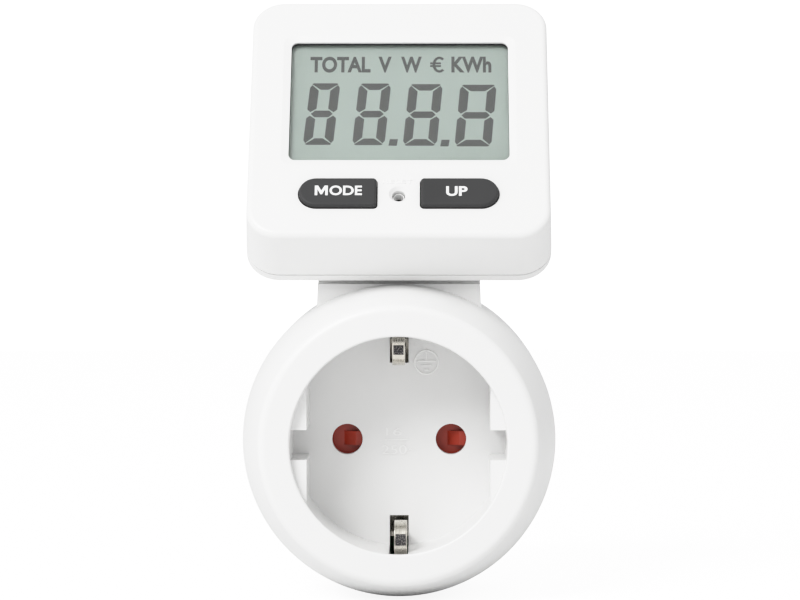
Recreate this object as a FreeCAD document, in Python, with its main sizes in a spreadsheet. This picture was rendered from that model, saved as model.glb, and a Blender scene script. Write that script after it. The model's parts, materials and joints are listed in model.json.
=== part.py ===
import FreeCAD, Part
import math
import os
import Sketcher

# Plug-in power meter: a round plug-through socket with a tilting display head on a short neck.
# Millimetres, +Z up. The origin is the centre of the plug's end face, where the pins leave it.
# The pins point along +Y into the wall, so the socket and the display face -Y.
# Depths are measured along +Y from the plane of the socket's rim.
# Head pieces are drawn upright: x across, y into the head from its face, z up from its bottom edge.

DIMENSIONS = [
    ("case_depth", 46.0, "socket rim to wall face"),
    ("plug_depth", 18.5, "wall face to plug end face"),
    ("flare_dia", 57.4, "largest diameter of the round case"),
    ("ring_dia", 49.8, "front ring, before its edge is rounded"),
    ("crest_depth", 18.0, "depth where the flare reaches its largest diameter"),
    ("split_depth", 24.0, "depth of the joint between front and rear shell"),
    ("case_wall", 2.0, "wall of both case shells"),
    ("joint_groove", 0.25, "shadow groove where two shells meet"),
    ("tongue_length", 1.6, "tongue of a rear shell past its joint"),
    ("tongue_root", 2.4, "joint to the end of the tongue's root"),
    ("tongue_wall", 1.0, "tongue of a rear shell"),
    ("fit_gap", 0.1, "clearance of a fitted piece"),
    ("ring_inset", 1.4, "hollow behind the ring, inside the ring's outer edge"),
    ("ring_round", 1.5, "round on the outer edge of the front ring"),
    ("rim_round", 0.4, "round on the edge of the recess"),
    ("recess_dia", 39.0, "socket recess"),
    ("recess_depth", 17.5, "rim to recess floor"),
    ("recess_wall", 1.8, "wall of the recess tube"),
    ("floor_wall", 2.0, "recess floor"),
    ("shoulder_gap", 33.0, "across the two keyed shoulders"),
    ("shoulder_drop", 2.2, "rim to the top of a shoulder"),
    ("notch_width", 5.4, "key notch in each shoulder"),
    ("pin_pitch", 19.0, "between pin centres"),
    ("pin_dia", 4.8, "plug pin"),
    ("pin_length", 19.0, "plug pin outside the plug"),
    ("pin_seat_dia", 5.4, "plug pin inside the plug's end wall"),
    ("pin_tip_round", 0.9, "round on the tip of a plug pin"),
    ("collar_wall", 0.8, "collar of a plug pin, beyond its radius"),
    ("collar_length", 1.5, "collar of a plug pin"),
    ("tail_length", 5.0, "flat tail of a plug pin"),
    ("tail_width", 4.0, "tails and bus bars"),
    ("hole_dia", 5.6, "pin hole in the recess floor"),
    ("slot_width", 3.45, "earth slot"),
    ("slot_inner", 14.0, "inner end of an earth slot, from the socket axis"),
    ("base_dia", 54.0, "rear shell at the wall face, before its edge is rounded"),
    ("base_round", 2.0, "round on the edge of the wall face"),
    ("taper_depth", 38.0, "depth where the rear shell starts to taper"),
    ("plug_dia", 37.0, "plug body"),
    ("plug_flats", 32.0, "across the plug's side flats"),
    ("rib_width", 4.9, "key rib on each flat"),
    ("plug_bore", 30.0, "hollow of the plug body"),
    ("plug_bore_flats", 27.0, "hollow of the plug body, across its flats"),
    ("plug_end_wall", 2.5, "end wall of the plug"),
    ("plug_round", 0.8, "round on the edge of the plug's end face"),
    ("groove_width", 6.8, "earth groove in the plug body"),
    ("groove_depth", 1.5, "depth of the earth groove"),
    ("screw_circle", 45.6, "circle of the case screws"),
    ("screw_dia", 2.2, "case screw thread"),
    ("screw_head_dia", 4.0, "case screw head"),
    ("screw_seat_depth", 32.0, "depth of the case screw heads"),
    ("screw_length", 14.0, "case screw under its head"),
    ("screw_head_height", 1.8, "case screw head"),
    ("screw_gap", 0.2, "round a case screw in the rear shell"),
    ("screw_bore_depth", 6.0, "depth where a screw bore ends"),
    ("post_wall", 1.2, "wall of a screw post in the front shell"),
    ("well_wall", 1.3, "wall of a screw well in the rear shell"),
    ("well_room", 0.3, "round a screw well"),
    ("neck_width", 29.6, "neck under the head"),
    ("neck_foot_width", 30.8, "neck where it leaves the case"),
    ("neck_drop", 18.5, "tilt axis down to the neck's foot inside the case"),
    ("neck_front_depth", 13.9, "depth of the neck's front face"),
    ("neck_slope", 16.0, "length of the slope behind the head"),
    ("neck_top_run", 4.5, "flat top of the neck"),
    ("neck_back_depth", 39.5, "depth of the neck's back face"),
    ("neck_back_height", 33.0, "height of the neck's back face"),
    ("lean", 38.0, "lean of the head against its back stop, degrees"),
    ("hinge_depth", 14.0, "depth of the tilt axis"),
    ("hinge_height", 35.5, "height of the tilt axis"),
    ("hinge_inset", 2.2, "tilt axis inside the head's back face"),
    ("hinge_rise", 6.46, "tilt axis above the head's bottom edge"),
    ("knuckle_dia", 6.4, "ears and lugs round the tilt axis"),
    ("hinge_pin_dia", 2.5, "hinge pin"),
    ("running_gap", 0.05, "radial clearance of a running fit"),
    ("stop_gap", 0.25, "head to neck at a stop"),
    ("lug_start", 6.2, "inner side of a lug"),
    ("lug_width", 3.1, "lug on the head"),
    ("ear_width", 3.2, "ear on the neck"),
    ("side_gap", 0.3, "between moving sides"),
    ("cable_width", 7.0, "display cable"),
    ("cable_wall", 0.8, "display cable"),
    ("cable_room", 0.8, "each side of the display cable in an opening"),
    ("cable_end_gap", 0.3, "end of either ribbon to the tilt axis"),
    ("head_width", 55.6, "head at its joint"),
    ("head_height", 55.8, "head at its joint"),
    ("head_thickness", 13.4, "face to back"),
    ("head_rear_depth", 2.1, "rim of the head's rear shell"),
    ("head_corner", 6.3, "corner radius of the head"),
    ("head_tongue", 1.2, "tongue of the head's rear shell past its joint"),
    ("head_post_dia", 4.2, "screw post of the head"),
    ("head_screw_dia", 1.8, "head screw thread"),
    ("head_screw_head_dia", 3.3, "head screw head"),
    ("head_screw_head_height", 1.1, "head screw head"),
    ("head_screw_length", 7.0, "head screw under its head"),
    ("head_screw_sink", 1.3, "seat of a head screw below the back"),
    ("head_screw_gap", 0.15, "round a head screw"),
    ("head_wall", 1.8, "wall of the head shells"),
    ("head_draft", 0.4, "draft of each side over the front shell"),
    ("face_round", 1.1, "round on the edge of the face"),
    ("back_round", 0.5, "round on the edge of the back"),
    ("window_width", 40.2, "display opening"),
    ("window_height", 27.9, "display opening"),
    ("window_rise", 31.7, "centre of the display opening"),
    ("window_corner", 1.3, "corner radius of the display opening"),
    ("bevel_width", 1.4, "bevel round the display opening"),
    ("bevel_depth", 0.35, "bevel round the display opening"),
    ("lens_depth", 1.15, "face to the display window"),
    ("lens_wall", 0.8, "display window"),
    ("lens_lap", 1.0, "display window behind the edge of its opening"),
    ("lcd_gap", 0.1, "display window to the display glass"),
    ("lcd_wall", 2.0, "display glass"),
    ("lcd_lap", 0.8, "display glass behind the edge of the opening"),
    ("reflector_wall", 0.3, "reflector behind the display glass"),
    ("reflector_lap", 0.2, "reflector behind the edge of the opening"),
    ("frame_lap", 2.6, "display frame behind the edge of the opening"),
    ("contact_strip_width", 2.0, "elastomer contact strip"),
    ("board_room", 6.8, "front of the head board to the head's back"),
    ("board_wall", 1.2, "head board"),
    ("board_inset", 1.4, "head board inside the head's wall"),
    ("board_corner", 1.5, "corner radius of the head board"),
    ("button_length", 14.0, "button cap"),
    ("button_height", 6.3, "button cap"),
    ("button_inner", 4.0, "button's inner end, from the middle"),
    ("button_rise", 9.7, "centre of the buttons"),
    ("button_corner", 0.6, "inner corners of a button"),
    ("button_proud", 0.9, "button cap in front of the face"),
    ("button_gap", 0.2, "round a button cap"),
    ("button_round", 0.45, "round on the edge of a button"),
    ("button_lip", 0.7, "retaining lip of a button, outwards and along its travel"),
    ("stem_dia", 3.0, "stem behind a button"),
    ("plunger_dia", 2.0, "plunger of a key switch"),
    ("switch_width", 6.0, "key switch"),
    ("switch_height", 3.8, "key switch"),
    ("switch_depth", 1.7, "key switch in front of the head board"),
    ("key_travel", 0.5, "travel of a button"),
    ("key_gap", 0.25, "free gap behind a pressed button"),
    ("reset_dia", 2.4, "reset hole"),
    ("reset_sink", 0.6, "funnel round the reset hole"),
    ("shutter_travel", 6.4, "travel of the shutter"),
    ("shutter_height", 7.2, "shutter plate, across its slide"),
    ("shutter_reach", 13.0, "half the length of the shutter"),
    ("shutter_wall", 1.6, "shutter plate"),
    ("ramp_height", 1.4, "ramp in front of the shutter plate"),
    ("ramp_width", 2.6, "ramp, across its slide"),
    ("slide_gap", 0.25, "round the sliding shutter"),
    ("guide_wall", 1.6, "rails of the shutter guide"),
    ("spring_dia", 2.4, "return spring of the shutter"),
    ("spring_wire_dia", 0.4, "return spring of the shutter"),
    ("spring_post", 6.0, "fixed end of the return spring, from the middle"),
    ("clip_width", 2.3, "earth clip"),
    ("clip_wall", 0.6, "earth clip"),
    ("clip_reach", 14.15, "closest point of an earth clip to the socket axis"),
    ("strap_wall", 0.8, "earth bridge and plug earth strips"),
    ("strip_width", 6.0, "plug earth strip and bar of the earth bridge"),
    ("strip_foot", 5.0, "foot of a plug earth strip"),
    ("rivet_dia", 1.4, "rivet through a clip"),
    ("foot_rivet_dia", 1.6, "rivet through a strip's foot"),
    ("power_board_depth", 40.1, "depth of the power board"),
    ("power_board_wall", 1.6, "power board"),
    ("power_board_dia", 50.0, "power board"),
    ("carrier_depth", 24.9, "depth of the contact carrier"),
    ("carrier_length", 12.8, "contact carrier along the pins"),
    ("carrier_width", 31.0, "contact carrier"),
    ("carrier_height", 16.0, "contact carrier"),
    ("leaf_wall", 0.7, "leaf of a socket contact"),
    ("leaf_width", 4.4, "leaf of a socket contact"),
]


class Size:
    """A size that carries its spreadsheet expression along with its value."""

    def __init__(self, text, value):
        self.text = text
        self.value = value

    def __add__(self, other):
        other = as_size(other)
        return Size(f"({self.text} + {other.text})", self.value + other.value)

    def __sub__(self, other):
        other = as_size(other)
        return Size(f"({self.text} - {other.text})", self.value - other.value)

    def __mul__(self, other):
        other = as_size(other)
        return Size(f"({self.text} * {other.text})", self.value * other.value)

    def __truediv__(self, other):
        other = as_size(other)
        return Size(f"({self.text} / {other.text})", self.value / other.value)

    def __radd__(self, other):
        return as_size(other) + self

    def __rsub__(self, other):
        return as_size(other) - self

    def __rmul__(self, other):
        return as_size(other) * self

    def __neg__(self):
        return Size(f"(0 - {self.text})", -self.value)


def as_size(value):
    return value if isinstance(value, Size) else Size(f"({float(value)!r})", float(value))


def sine(angle):
    return Size(f"sin({angle.text} * 1 deg)", math.sin(math.radians(angle.value)))


def cosine(angle):
    return Size(f"cos({angle.text} * 1 deg)", math.cos(math.radians(angle.value)))


def tangent(angle):
    return sine(angle) / cosine(angle)


def root(size):
    return Size(f"sqrt({size.text})", math.sqrt(size.value))


class Sizes:
    """The driving dimensions, read back from the sheet by their aliases."""

    def __init__(self, sheet):
        for alias, _value, _words in DIMENSIONS:
            setattr(self, alias, Size(f"Sizes.{alias}", float(sheet.get(alias))))


def make_sheet():
    sheet = doc.addObject("Spreadsheet::Sheet", "Sizes")
    for row, (alias, value, words) in enumerate(DIMENSIONS, start=1):
        sheet.set(f"A{row}", words)
        sheet.set(f"B{row}", str(value))
        sheet.setAlias(f"B{row}", alias)
    doc.recompute()
    return sheet


# ---------------------------------------------------------------- drawing helpers

X_AXIS = FreeCAD.Vector(1, 0, 0)
Y_AXIS = FreeCAD.Vector(0, 1, 0)
Z_AXIS = FreeCAD.Vector(0, 0, 1)
NO_TURN = FreeCAD.Rotation()
FRONT_PLANE = FreeCAD.Rotation(X_AXIS, 90)                      # sketch x, y lie on X, Z
SIDE_PLANE = FreeCAD.Rotation(FreeCAD.Vector(1, 1, 1), 120)     # sketch x, y lie on Y, Z
ALONG_X = FreeCAD.Rotation(FreeCAD.Vector(0, 1, 0), 90)
ALONG_Y = FreeCAD.Rotation(X_AXIS, -90)
PAST = 1.0              # how far a cutting tool runs past its piece
SINK = 0.3              # how far a piece is sunk into the one it is fused to


class Bend:
    """An arc to the next corner of a loop, about a centre; turn is 1 for anticlockwise."""

    def __init__(self, x, y, turn=1):
        self.x = as_size(x)
        self.y = as_size(y)
        self.turn = turn


class Ring:
    """A whole circle as a loop."""

    def __init__(self, x, y, radius):
        self.x = as_size(x)
        self.y = as_size(y)
        self.radius = as_size(radius)


def place(obj, x=0, y=0, z=0, turn=NO_TURN):
    spot = [as_size(x), as_size(y), as_size(z)]
    obj.Placement = FreeCAD.Placement(FreeCAD.Vector(*[size.value for size in spot]), turn)
    for axis, size in zip("xyz", spot):
        obj.setExpression(f"Placement.Base.{axis}", size.text)
    return obj


def bind(obj, **sizes):
    for name, size in sizes.items():
        obj.setExpression(name, as_size(size).text)
    return obj


def fix(sketch, kind, where, value):
    """Adds one driving constraint on a geometry point and ties it to the sheet."""
    size = as_size(value)
    index = sketch.addConstraint(Sketcher.Constraint(kind, *where, size.value))
    sketch.setExpression(f"Constraints[{index}]", size.text)


def fix_point(sketch, edge, end, x, y):
    fix(sketch, "DistanceX", (-1, 1, edge, end), x)
    fix(sketch, "DistanceY", (-1, 1, edge, end), y)


def arc_between(start, end, bend):
    """The arc from start to end, and the numbers of its ends in the sketch."""
    centre = FreeCAD.Vector(bend.x.value, bend.y.value, 0)
    first, last = (start, end) if bend.turn > 0 else (end, start)
    angles = [math.atan2(point.y - centre.y, point.x - centre.x) for point in (first, last)]
    if angles[1] <= angles[0]:
        angles[1] += 2 * math.pi
    circle = Part.Circle(centre, Z_AXIS, (start - centre).Length)
    ends = (1, 2) if bend.turn > 0 else (2, 1)
    return Part.ArcOfCircle(circle, *angles), ends


def draw(sketch, loop, closed=True):
    """Draws a loop of (x, y) corners; a third item in a corner bends the edge that leaves it."""
    if isinstance(loop, Ring):
        centre = FreeCAD.Vector(loop.x.value, loop.y.value, 0)
        edge = sketch.addGeometry(Part.Circle(centre, Z_AXIS, loop.radius.value))
        fix_point(sketch, edge, 3, loop.x, loop.y)
        fix(sketch, "Radius", (edge,), loop.radius)
        return
    corners = [(as_size(corner[0]), as_size(corner[1])) for corner in loop]
    spots = [FreeCAD.Vector(x.value, y.value, 0) for x, y in corners]
    count = len(loop) if closed else len(loop) - 1
    drawn = []
    for number in range(count):
        start, end = spots[number], spots[(number + 1) % len(loop)]
        bend = loop[number][2] if len(loop[number]) > 2 else None
        if bend:
            shape, ends = arc_between(start, end, bend)
        else:
            shape, ends = Part.LineSegment(start, end), (1, 2)
        edge = sketch.addGeometry(shape)
        drawn.append((edge, ends))
        fix_point(sketch, edge, ends[0], *corners[number])
        if bend:
            chord = end - start
            if abs(chord.y) >= abs(chord.x):
                fix(sketch, "DistanceX", (-1, 1, edge, 3), bend.x)
            else:
                fix(sketch, "DistanceY", (-1, 1, edge, 3), bend.y)
    for number, (edge, ends) in enumerate(drawn):
        if closed or number + 1 < len(drawn):
            following, following_ends = drawn[(number + 1) % len(drawn)]
            joint = (edge, ends[1], following, following_ends[0])
            sketch.addConstraint(Sketcher.Constraint("Coincident", *joint))
    if not closed:
        fix_point(sketch, drawn[-1][0], drawn[-1][1][1], *corners[-1])


def rounded_rectangle(x0, x1, z0, z1, radius):
    """A loop with four equal round corners, anticlockwise from the bottom edge."""
    x0, x1, z0, z1, radius = [as_size(value) for value in (x0, x1, z0, z1, radius)]
    left, right, low, high = x0 + radius, x1 - radius, z0 + radius, z1 - radius
    return [
        (left, z0), (right, z0, Bend(right, low)),
        (x1, low), (x1, high, Bend(right, high)),
        (right, z1), (left, z1, Bend(left, high)),
        (x0, high), (x0, low, Bend(left, low)),
    ]


def span(side, near, far):
    """A stretch from near to far on one side of the middle, lower end first."""
    near, far = as_size(near), as_size(far)
    return (near, far) if side > 0 else (-far, -near)


def box(x0, x1, y0, y1, z0, z1):
    x0, x1, y0, y1, z0, z1 = [as_size(value) for value in (x0, x1, y0, y1, z0, z1)]
    block = doc.addObject("Part::Box", "block")
    bind(block, Length=x1 - x0, Width=y1 - y0, Height=z1 - z0)
    return place(block, x0, y0, z0)


def rod_along_y(x, z, radius, y0, y1):
    rod = doc.addObject("Part::Cylinder", "rod")
    bind(rod, Radius=radius, Height=as_size(y1) - y0)
    return place(rod, x, y0, z, ALONG_Y)


def rod_along_x(y, z, radius, x0, x1):
    rod = doc.addObject("Part::Cylinder", "rod")
    bind(rod, Radius=radius, Height=as_size(x1) - x0)
    return place(rod, x0, y, z, ALONG_X)


def straight_sweep(outline, direction, length):
    """Carries a sketch straight in a direction, as a solid."""
    slab = doc.addObject("Part::Extrusion", "slab")
    slab.Base = outline
    slab.DirMode = "Custom"
    slab.Dir = direction
    slab.Solid = True
    slab.FaceMakerClass = "Part::FaceMakerBullseye"
    return bind(slab, LengthFwd=length)


def extrude(loops, turn, axis, start, end, spot):
    outline = doc.addObject("Sketcher::SketchObject", "outline")
    place(outline, *spot, turn)
    for loop in loops:
        draw(outline, loop)
    return straight_sweep(outline, axis, as_size(end) - start)


def slab_across_x(loops, x0, x1):
    """Side outlines of (y, z) corners, carried from x0 to x1."""
    return extrude(loops, SIDE_PLANE, X_AXIS, x0, x1, (x0, 0, 0))


def slab_across_y(loops, y0, y1):
    """Front outlines of (x, z) corners, carried from y0 to y1."""
    return extrude(loops, FRONT_PLANE, Y_AXIS, y0, y1, (0, y0, 0))


def fuse(*pieces):
    joined = doc.addObject("Part::MultiFuse", "joined")
    joined.Shapes = list(pieces)
    joined.Refine = True
    return joined


def common(*pieces):
    shared = doc.addObject("Part::MultiCommon", "shared")
    shared.Shapes = list(pieces)
    return shared


def cut(base, *tools):
    trimmed = doc.addObject("Part::Cut", "trimmed")
    trimmed.Base = base
    trimmed.Tool = tools[0] if len(tools) == 1 else fuse(*tools)
    trimmed.Refine = True
    return trimmed


def group(*pieces):
    together = doc.addObject("Part::Compound", "together")
    together.Links = list(pieces)
    return together


def origin_plane(body, role):
    return next(item for item in body.Origin.OriginFeatures if item.Role == role)


def body_sketch(body, role, loops, offset=0):
    """A sketch on one of the body's own origin planes; offset runs along that plane's normal."""
    outline = body.newObject("Sketcher::SketchObject", "outline")
    outline.AttachmentSupport = [(origin_plane(body, role), "")]
    outline.MapMode = "FlatFace"
    shift = as_size(offset)
    outline.AttachmentOffset = FreeCAD.Placement(FreeCAD.Vector(0, 0, shift.value), NO_TURN)
    outline.setExpression("AttachmentOffset.Base.z", shift.text)
    for loop in loops:
        draw(outline, loop)
    return outline


def turned_body(*loops):
    """A body turned about the Y axis from side outlines of (y, radius) corners."""
    body = doc.addObject("PartDesign::Body", "turned")
    outline = body_sketch(body, "YZ_Plane", loops)
    turning = body.newObject("PartDesign::Revolution", "turning")
    turning.Profile = outline
    turning.ReferenceAxis = (outline, ["H_Axis"])
    turning.Angle = 360
    return body


def pad(body, loops, y0, y1, taper=None):
    """Adds front outlines from y0 back to y1; a taper widens them on the way."""
    feature = body.newObject("PartDesign::Pad", "pad")
    feature.Profile = body_sketch(body, "XZ_Plane", loops, -as_size(y0))
    feature.Reversed = True
    bind(feature, Length=as_size(y1) - y0)
    if taper:
        bind(feature, TaperAngle=taper)
    return feature


def pocket(body, loops, y0, y1):
    """Cuts front outlines from y0 back to y1."""
    feature = body.newObject("PartDesign::Pocket", "pocket")
    feature.Profile = body_sketch(body, "XZ_Plane", loops, -as_size(y0))
    bind(feature, Length=as_size(y1) - y0)
    return feature


EDGE_MATCH = 1e-3       # how closely an edge's place has to agree with the one looked for


def round_edges(body, radius, wanted):
    """Rounds the edges of the body's tip that the test picks."""
    doc.recompute()
    base = body.Tip
    edges = enumerate(base.Shape.Edges, start=1)
    feature = body.newObject("PartDesign::Fillet", "round")
    feature.Base = (base, [f"Edge{number}" for number, edge in edges if wanted(edge)])
    bind(feature, Radius=radius)
    return feature


def in_plane_y(y):
    """Picks the edges that lie flat at a depth."""
    def wanted(edge):
        bounds = edge.BoundBox
        return abs(bounds.YMin - y.value) < EDGE_MATCH and abs(bounds.YMax - y.value) < EDGE_MATCH
    return wanted


def circle_at(y, radius):
    """Picks the edge of a turned body that lies at y with the given radius."""
    flat = in_plane_y(y)
    return lambda edge: flat(edge) and abs(edge.BoundBox.XMax - radius.value) < EDGE_MATCH


NODES = {}


def keep(label, piece):
    """Names a finished piece of the case."""
    piece.Label = label
    NODES[label] = piece
    return piece


def keep_in_head(label, piece):
    """Names a finished piece of the head and leans it back about the tilt axis."""
    if piece.TypeId != "PartDesign::Body":
        piece = group(piece)
    base_y = hinge_y - (cosine(s.lean) * hinge_in + sine(s.lean) * s.hinge_rise)
    base_z = s.hinge_height - (cosine(s.lean) * s.hinge_rise - sine(s.lean) * hinge_in)
    place(piece, 0, base_y, base_z, FreeCAD.Rotation(FreeCAD.Vector(-1, 0, 0), s.lean.value))
    piece.setExpression("Placement.Rotation.Angle", s.lean.text)
    return keep(label, piece)


doc = FreeCAD.newDocument("plug_in_power_meter")
s = Sizes(make_sheet())

# ---------------------------------------------------------------- shared places, case

wall_y = -s.plug_depth
rim_y = wall_y - s.case_depth
floor_y = rim_y + s.recess_depth
floor_back = floor_y + s.floor_wall
split_y = rim_y + s.split_depth
crest_y = rim_y + s.crest_depth
taper_y = rim_y + s.taper_depth
hinge_y = rim_y + s.hinge_depth
recess_r = s.recess_dia / 2
flare_r = s.flare_dia / 2
inner_r = flare_r - s.case_wall
ring_r = s.ring_dia / 2
plug_r = s.plug_dia / 2
pin_x = s.pin_pitch / 2
collar_r = s.pin_dia / 2 + s.collar_wall
well_r = s.screw_head_dia / 2 + s.well_wall
tube_r = recess_r + s.recess_wall
flange_y = wall_y - s.case_wall
board_y = rim_y + s.power_board_depth
board_back = board_y + s.power_board_wall
carrier_y = rim_y + s.carrier_depth
carrier_back = carrier_y + s.carrier_length
seat_y = rim_y + s.screw_seat_depth
SIDES = (("left", -1), ("right", 1))
ENDS = (("top", 1), ("bottom", -1))
SCREW_ANGLES = (45, 135, 225, 315)


def screw_spots():
    for angle in SCREW_ANGLES:
        yield (s.screw_circle / 2 * math.cos(math.radians(angle)),
               s.screw_circle / 2 * math.sin(math.radians(angle)))


# ---------------------------------------------------------------- neck

neck_gap = s.hinge_inset + s.stop_gap                 # tilt axis to either stop face
edge_in = s.hinge_inset - s.back_round
edge_up = s.hinge_rise - s.back_round
seat_r = root(edge_in * edge_in + edge_up * edge_up) + s.back_round + s.stop_gap
neck_foot = s.hinge_height - s.neck_drop
neck_top = s.hinge_height - neck_gap * tangent(s.lean / 2) + s.neck_slope * cosine(s.lean)
neck_top_end = hinge_y + neck_gap + s.neck_slope * sine(s.lean) + s.neck_top_run


def neck_behind_head(inset):
    """The stop faces, top and back of the neck, moved inwards by an inset."""
    gap = neck_gap + inset
    corner_z = s.hinge_height - gap * tangent(s.lean / 2)
    top_z = neck_top - inset
    back_y = rim_y + s.neck_back_depth - inset
    return [
        (hinge_y + gap, corner_z),
        (hinge_y + gap + (top_z - corner_z) * tangent(s.lean), top_z),
        (neck_top_end - inset, top_z),
        (back_y, s.neck_back_height - inset / 2),
        (back_y, neck_foot),
    ]


def neck_outline():
    """Side outline of the neck, with a round seat below the head's bottom edge."""
    front = rim_y + s.neck_front_depth
    reach = front - hinge_y
    lip_z = s.hinge_height - root(seat_r * seat_r - reach * reach)
    seat_end = s.hinge_height - root(seat_r * seat_r - neck_gap * neck_gap)
    seat = [
        (front, neck_foot),
        (front, lip_z, Bend(hinge_y, s.hinge_height)),
        (hinge_y + neck_gap, seat_end),
    ]
    return seat + neck_behind_head(as_size(0))


def neck_hollow_outline():
    wall = s.case_wall
    front = rim_y + s.neck_front_depth + wall
    roof = s.hinge_height - seat_r - wall
    below_seat = [(front, neck_foot), (front, roof), (hinge_y + neck_gap + wall, roof)]
    return below_seat + neck_behind_head(wall)


def neck_front_outline():
    half, foot_half = s.neck_width / 2, s.neck_foot_width / 2
    high = neck_top + PAST
    knee = s.hinge_height - seat_r
    return [(-foot_half, neck_foot), (foot_half, neck_foot), (half, knee),
            (half, high), (-half, high), (-half, knee)]


def neck_shell(near, far):
    """The neck's outer block between two depths, clear of the round case's hollow."""
    half = s.neck_foot_width / 2
    block = common(slab_across_x([neck_outline()], -half, half),
                   slab_across_y([neck_front_outline()], near, far))
    return cut(block, rod_along_y(0, 0, inner_r, near - PAST, far + PAST))


def neck_hollow():
    half = s.neck_width / 2 - s.case_wall
    return slab_across_x([neck_hollow_outline()], -half, half)


def ear(side):
    """A hinge ear: a disc round the tilt axis with a root into the neck."""
    near = s.lug_start + s.lug_width + s.side_gap
    x0, x1 = span(side, near, near + s.ear_width)
    radius = s.knuckle_dia / 2
    disc = rod_along_x(hinge_y, s.hinge_height, radius, x0, x1)
    stem_end = hinge_y + neck_gap + s.case_wall
    return fuse(disc, box(x0, x1, hinge_y, stem_end, s.hinge_height - radius, s.hinge_height))


def lug_relief(side):
    """Room in the neck for a lug of the head at every tilt."""
    x0, x1 = span(side, s.lug_start - s.side_gap, s.lug_start + s.lug_width + s.side_gap)
    return rod_along_x(hinge_y, s.hinge_height, s.knuckle_dia / 2 + s.side_gap, x0, x1)


def hinge_bore():
    """The bore of the ears, which grip the pins."""
    reach = s.lug_start + s.lug_width + s.side_gap + s.ear_width + PAST
    return rod_along_x(hinge_y, s.hinge_height, s.hinge_pin_dia / 2, -reach, reach)


cable_half = s.cable_width / 2
cable_slot_half = cable_half + s.cable_room


def cable_opening():
    """The gap in the neck's corner where the display cable leaves for the head."""
    below, above = 2.2, 1.4                               # from the tilt axis
    back_y = hinge_y + neck_gap + s.case_wall + below
    return box(-cable_slot_half, cable_slot_half, hinge_y - PAST, back_y,
               s.hinge_height - below, s.hinge_height + above)


# ---------------------------------------------------------------- case shells

def shoulder(side):
    """One of the two keyed shoulders at the sides of the recess, with its notch."""
    sunk_r = recess_r + SINK
    x0, x1 = span(side, s.shoulder_gap / 2, sunk_r)
    wedge = box(x0, x1, rim_y + s.shoulder_drop, floor_back, -recess_r, recess_r)
    notch = box(x0 - PAST, x1 + PAST, rim_y, floor_y, -s.notch_width / 2, s.notch_width / 2)
    return common(cut(wedge, notch), rod_along_y(0, 0, sunk_r, rim_y, floor_back))


def earth_slots(end):
    """The slot of an earth clip through the recess floor and up the recess tube."""
    half = s.slot_width / 2
    outer = tube_r + 0.05
    z0, z1 = span(end, s.slot_inner, outer)
    wall0, wall1 = span(end, recess_r - PAST, outer)
    return [box(-half, half, floor_y - 0.01, floor_back + PAST, z0, z1),
            box(-half, half, rim_y + PAST, floor_back + PAST, wall0, wall1)]


def front_shell():
    drop = flare_r - ring_r
    flare_centre = flare_r - (s.crest_depth * s.crest_depth + drop * drop) / (2 * drop)
    bowl = turned_body([
        (rim_y, recess_r),
        (rim_y, ring_r, Bend(crest_y, flare_centre, -1)),
        (crest_y, flare_r),
        (split_y, flare_r),
        (split_y, inner_r),
        (crest_y, inner_r),
        (rim_y + s.case_wall, ring_r - s.ring_inset),
        (rim_y + s.case_wall, tube_r),
        (floor_back, tube_r),
        (floor_back, 0),
        (floor_y, 0),
        (floor_y, recess_r),
    ])
    round_edges(bowl, s.ring_round, circle_at(rim_y, ring_r))
    round_edges(bowl, s.rim_round, circle_at(rim_y, recess_r))
    pieces = [bowl, neck_shell(rim_y, split_y)]
    trims = [cut(neck_hollow(), rod_along_y(0, 0, tube_r, rim_y, floor_back)), cable_opening()]
    for _name, side in SIDES:
        pieces.append(shoulder(side))
        trims.append(lug_relief(side))
        trims.append(rod_along_y(side * pin_x, 0, s.hole_dia / 2, floor_y - PAST, floor_back + PAST))
    for x, z in screw_spots():
        pieces.append(rod_along_y(x, z, s.screw_dia / 2 + s.post_wall, rim_y + s.case_wall / 2, split_y))
        trims.append(rod_along_y(x, z, s.screw_dia / 2, rim_y + s.screw_bore_depth, split_y + PAST))
    for _name, end in ENDS:
        trims += earth_slots(end)
    shell = fuse(cut(fuse(*pieces), *trims), *[ear(side) for _name, side in SIDES])
    return cut(shell, hinge_bore())


def tongue():
    """A thin lip inside the joint, open for the neck and the screw wells."""
    outer = inner_r - s.fit_gap
    inner = outer - s.tongue_wall
    lip = turned_body([
        (split_y - s.tongue_length, inner),
        (split_y - s.tongue_length, outer),
        (split_y, outer),
        (split_y + s.tongue_wall, inner_r + SINK),
        (split_y + s.tongue_root, inner_r + SINK),
        (split_y + s.tongue_root, inner),
    ])
    half = s.neck_foot_width / 2 + s.side_gap
    reach = s.tongue_root + PAST
    gaps = [box(-half, half, split_y - reach, split_y + reach, 0, flare_r)]
    gaps += [rod_along_y(x, z, well_r + s.well_room, split_y - reach, split_y) for x, z in screw_spots()]
    return cut(lip, *gaps)


def plug_hollow():
    bore_end = -s.plug_end_wall
    flats = s.plug_bore_flats / 2
    return common(rod_along_y(0, 0, s.plug_bore / 2, flange_y - PAST, bore_end),
                  box(-flats, flats, flange_y - PAST, bore_end, -plug_r, plug_r))


def plug_side_trims(side):
    """The flats beside a key rib, and the seat of a plug pin."""
    x0, x1 = span(side, s.plug_flats / 2, plug_r + PAST)
    rib = s.rib_width / 2
    flats = [box(x0, x1, wall_y, PAST, *span(end, rib, plug_r)) for _name, end in ENDS]
    x = side * pin_x
    return flats + [
        rod_along_y(x, 0, s.pin_seat_dia / 2, -s.plug_end_wall - PAST, PAST),
        rod_along_y(x, 0, collar_r + s.fit_gap, flange_y, -s.plug_end_wall),
    ]


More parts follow.
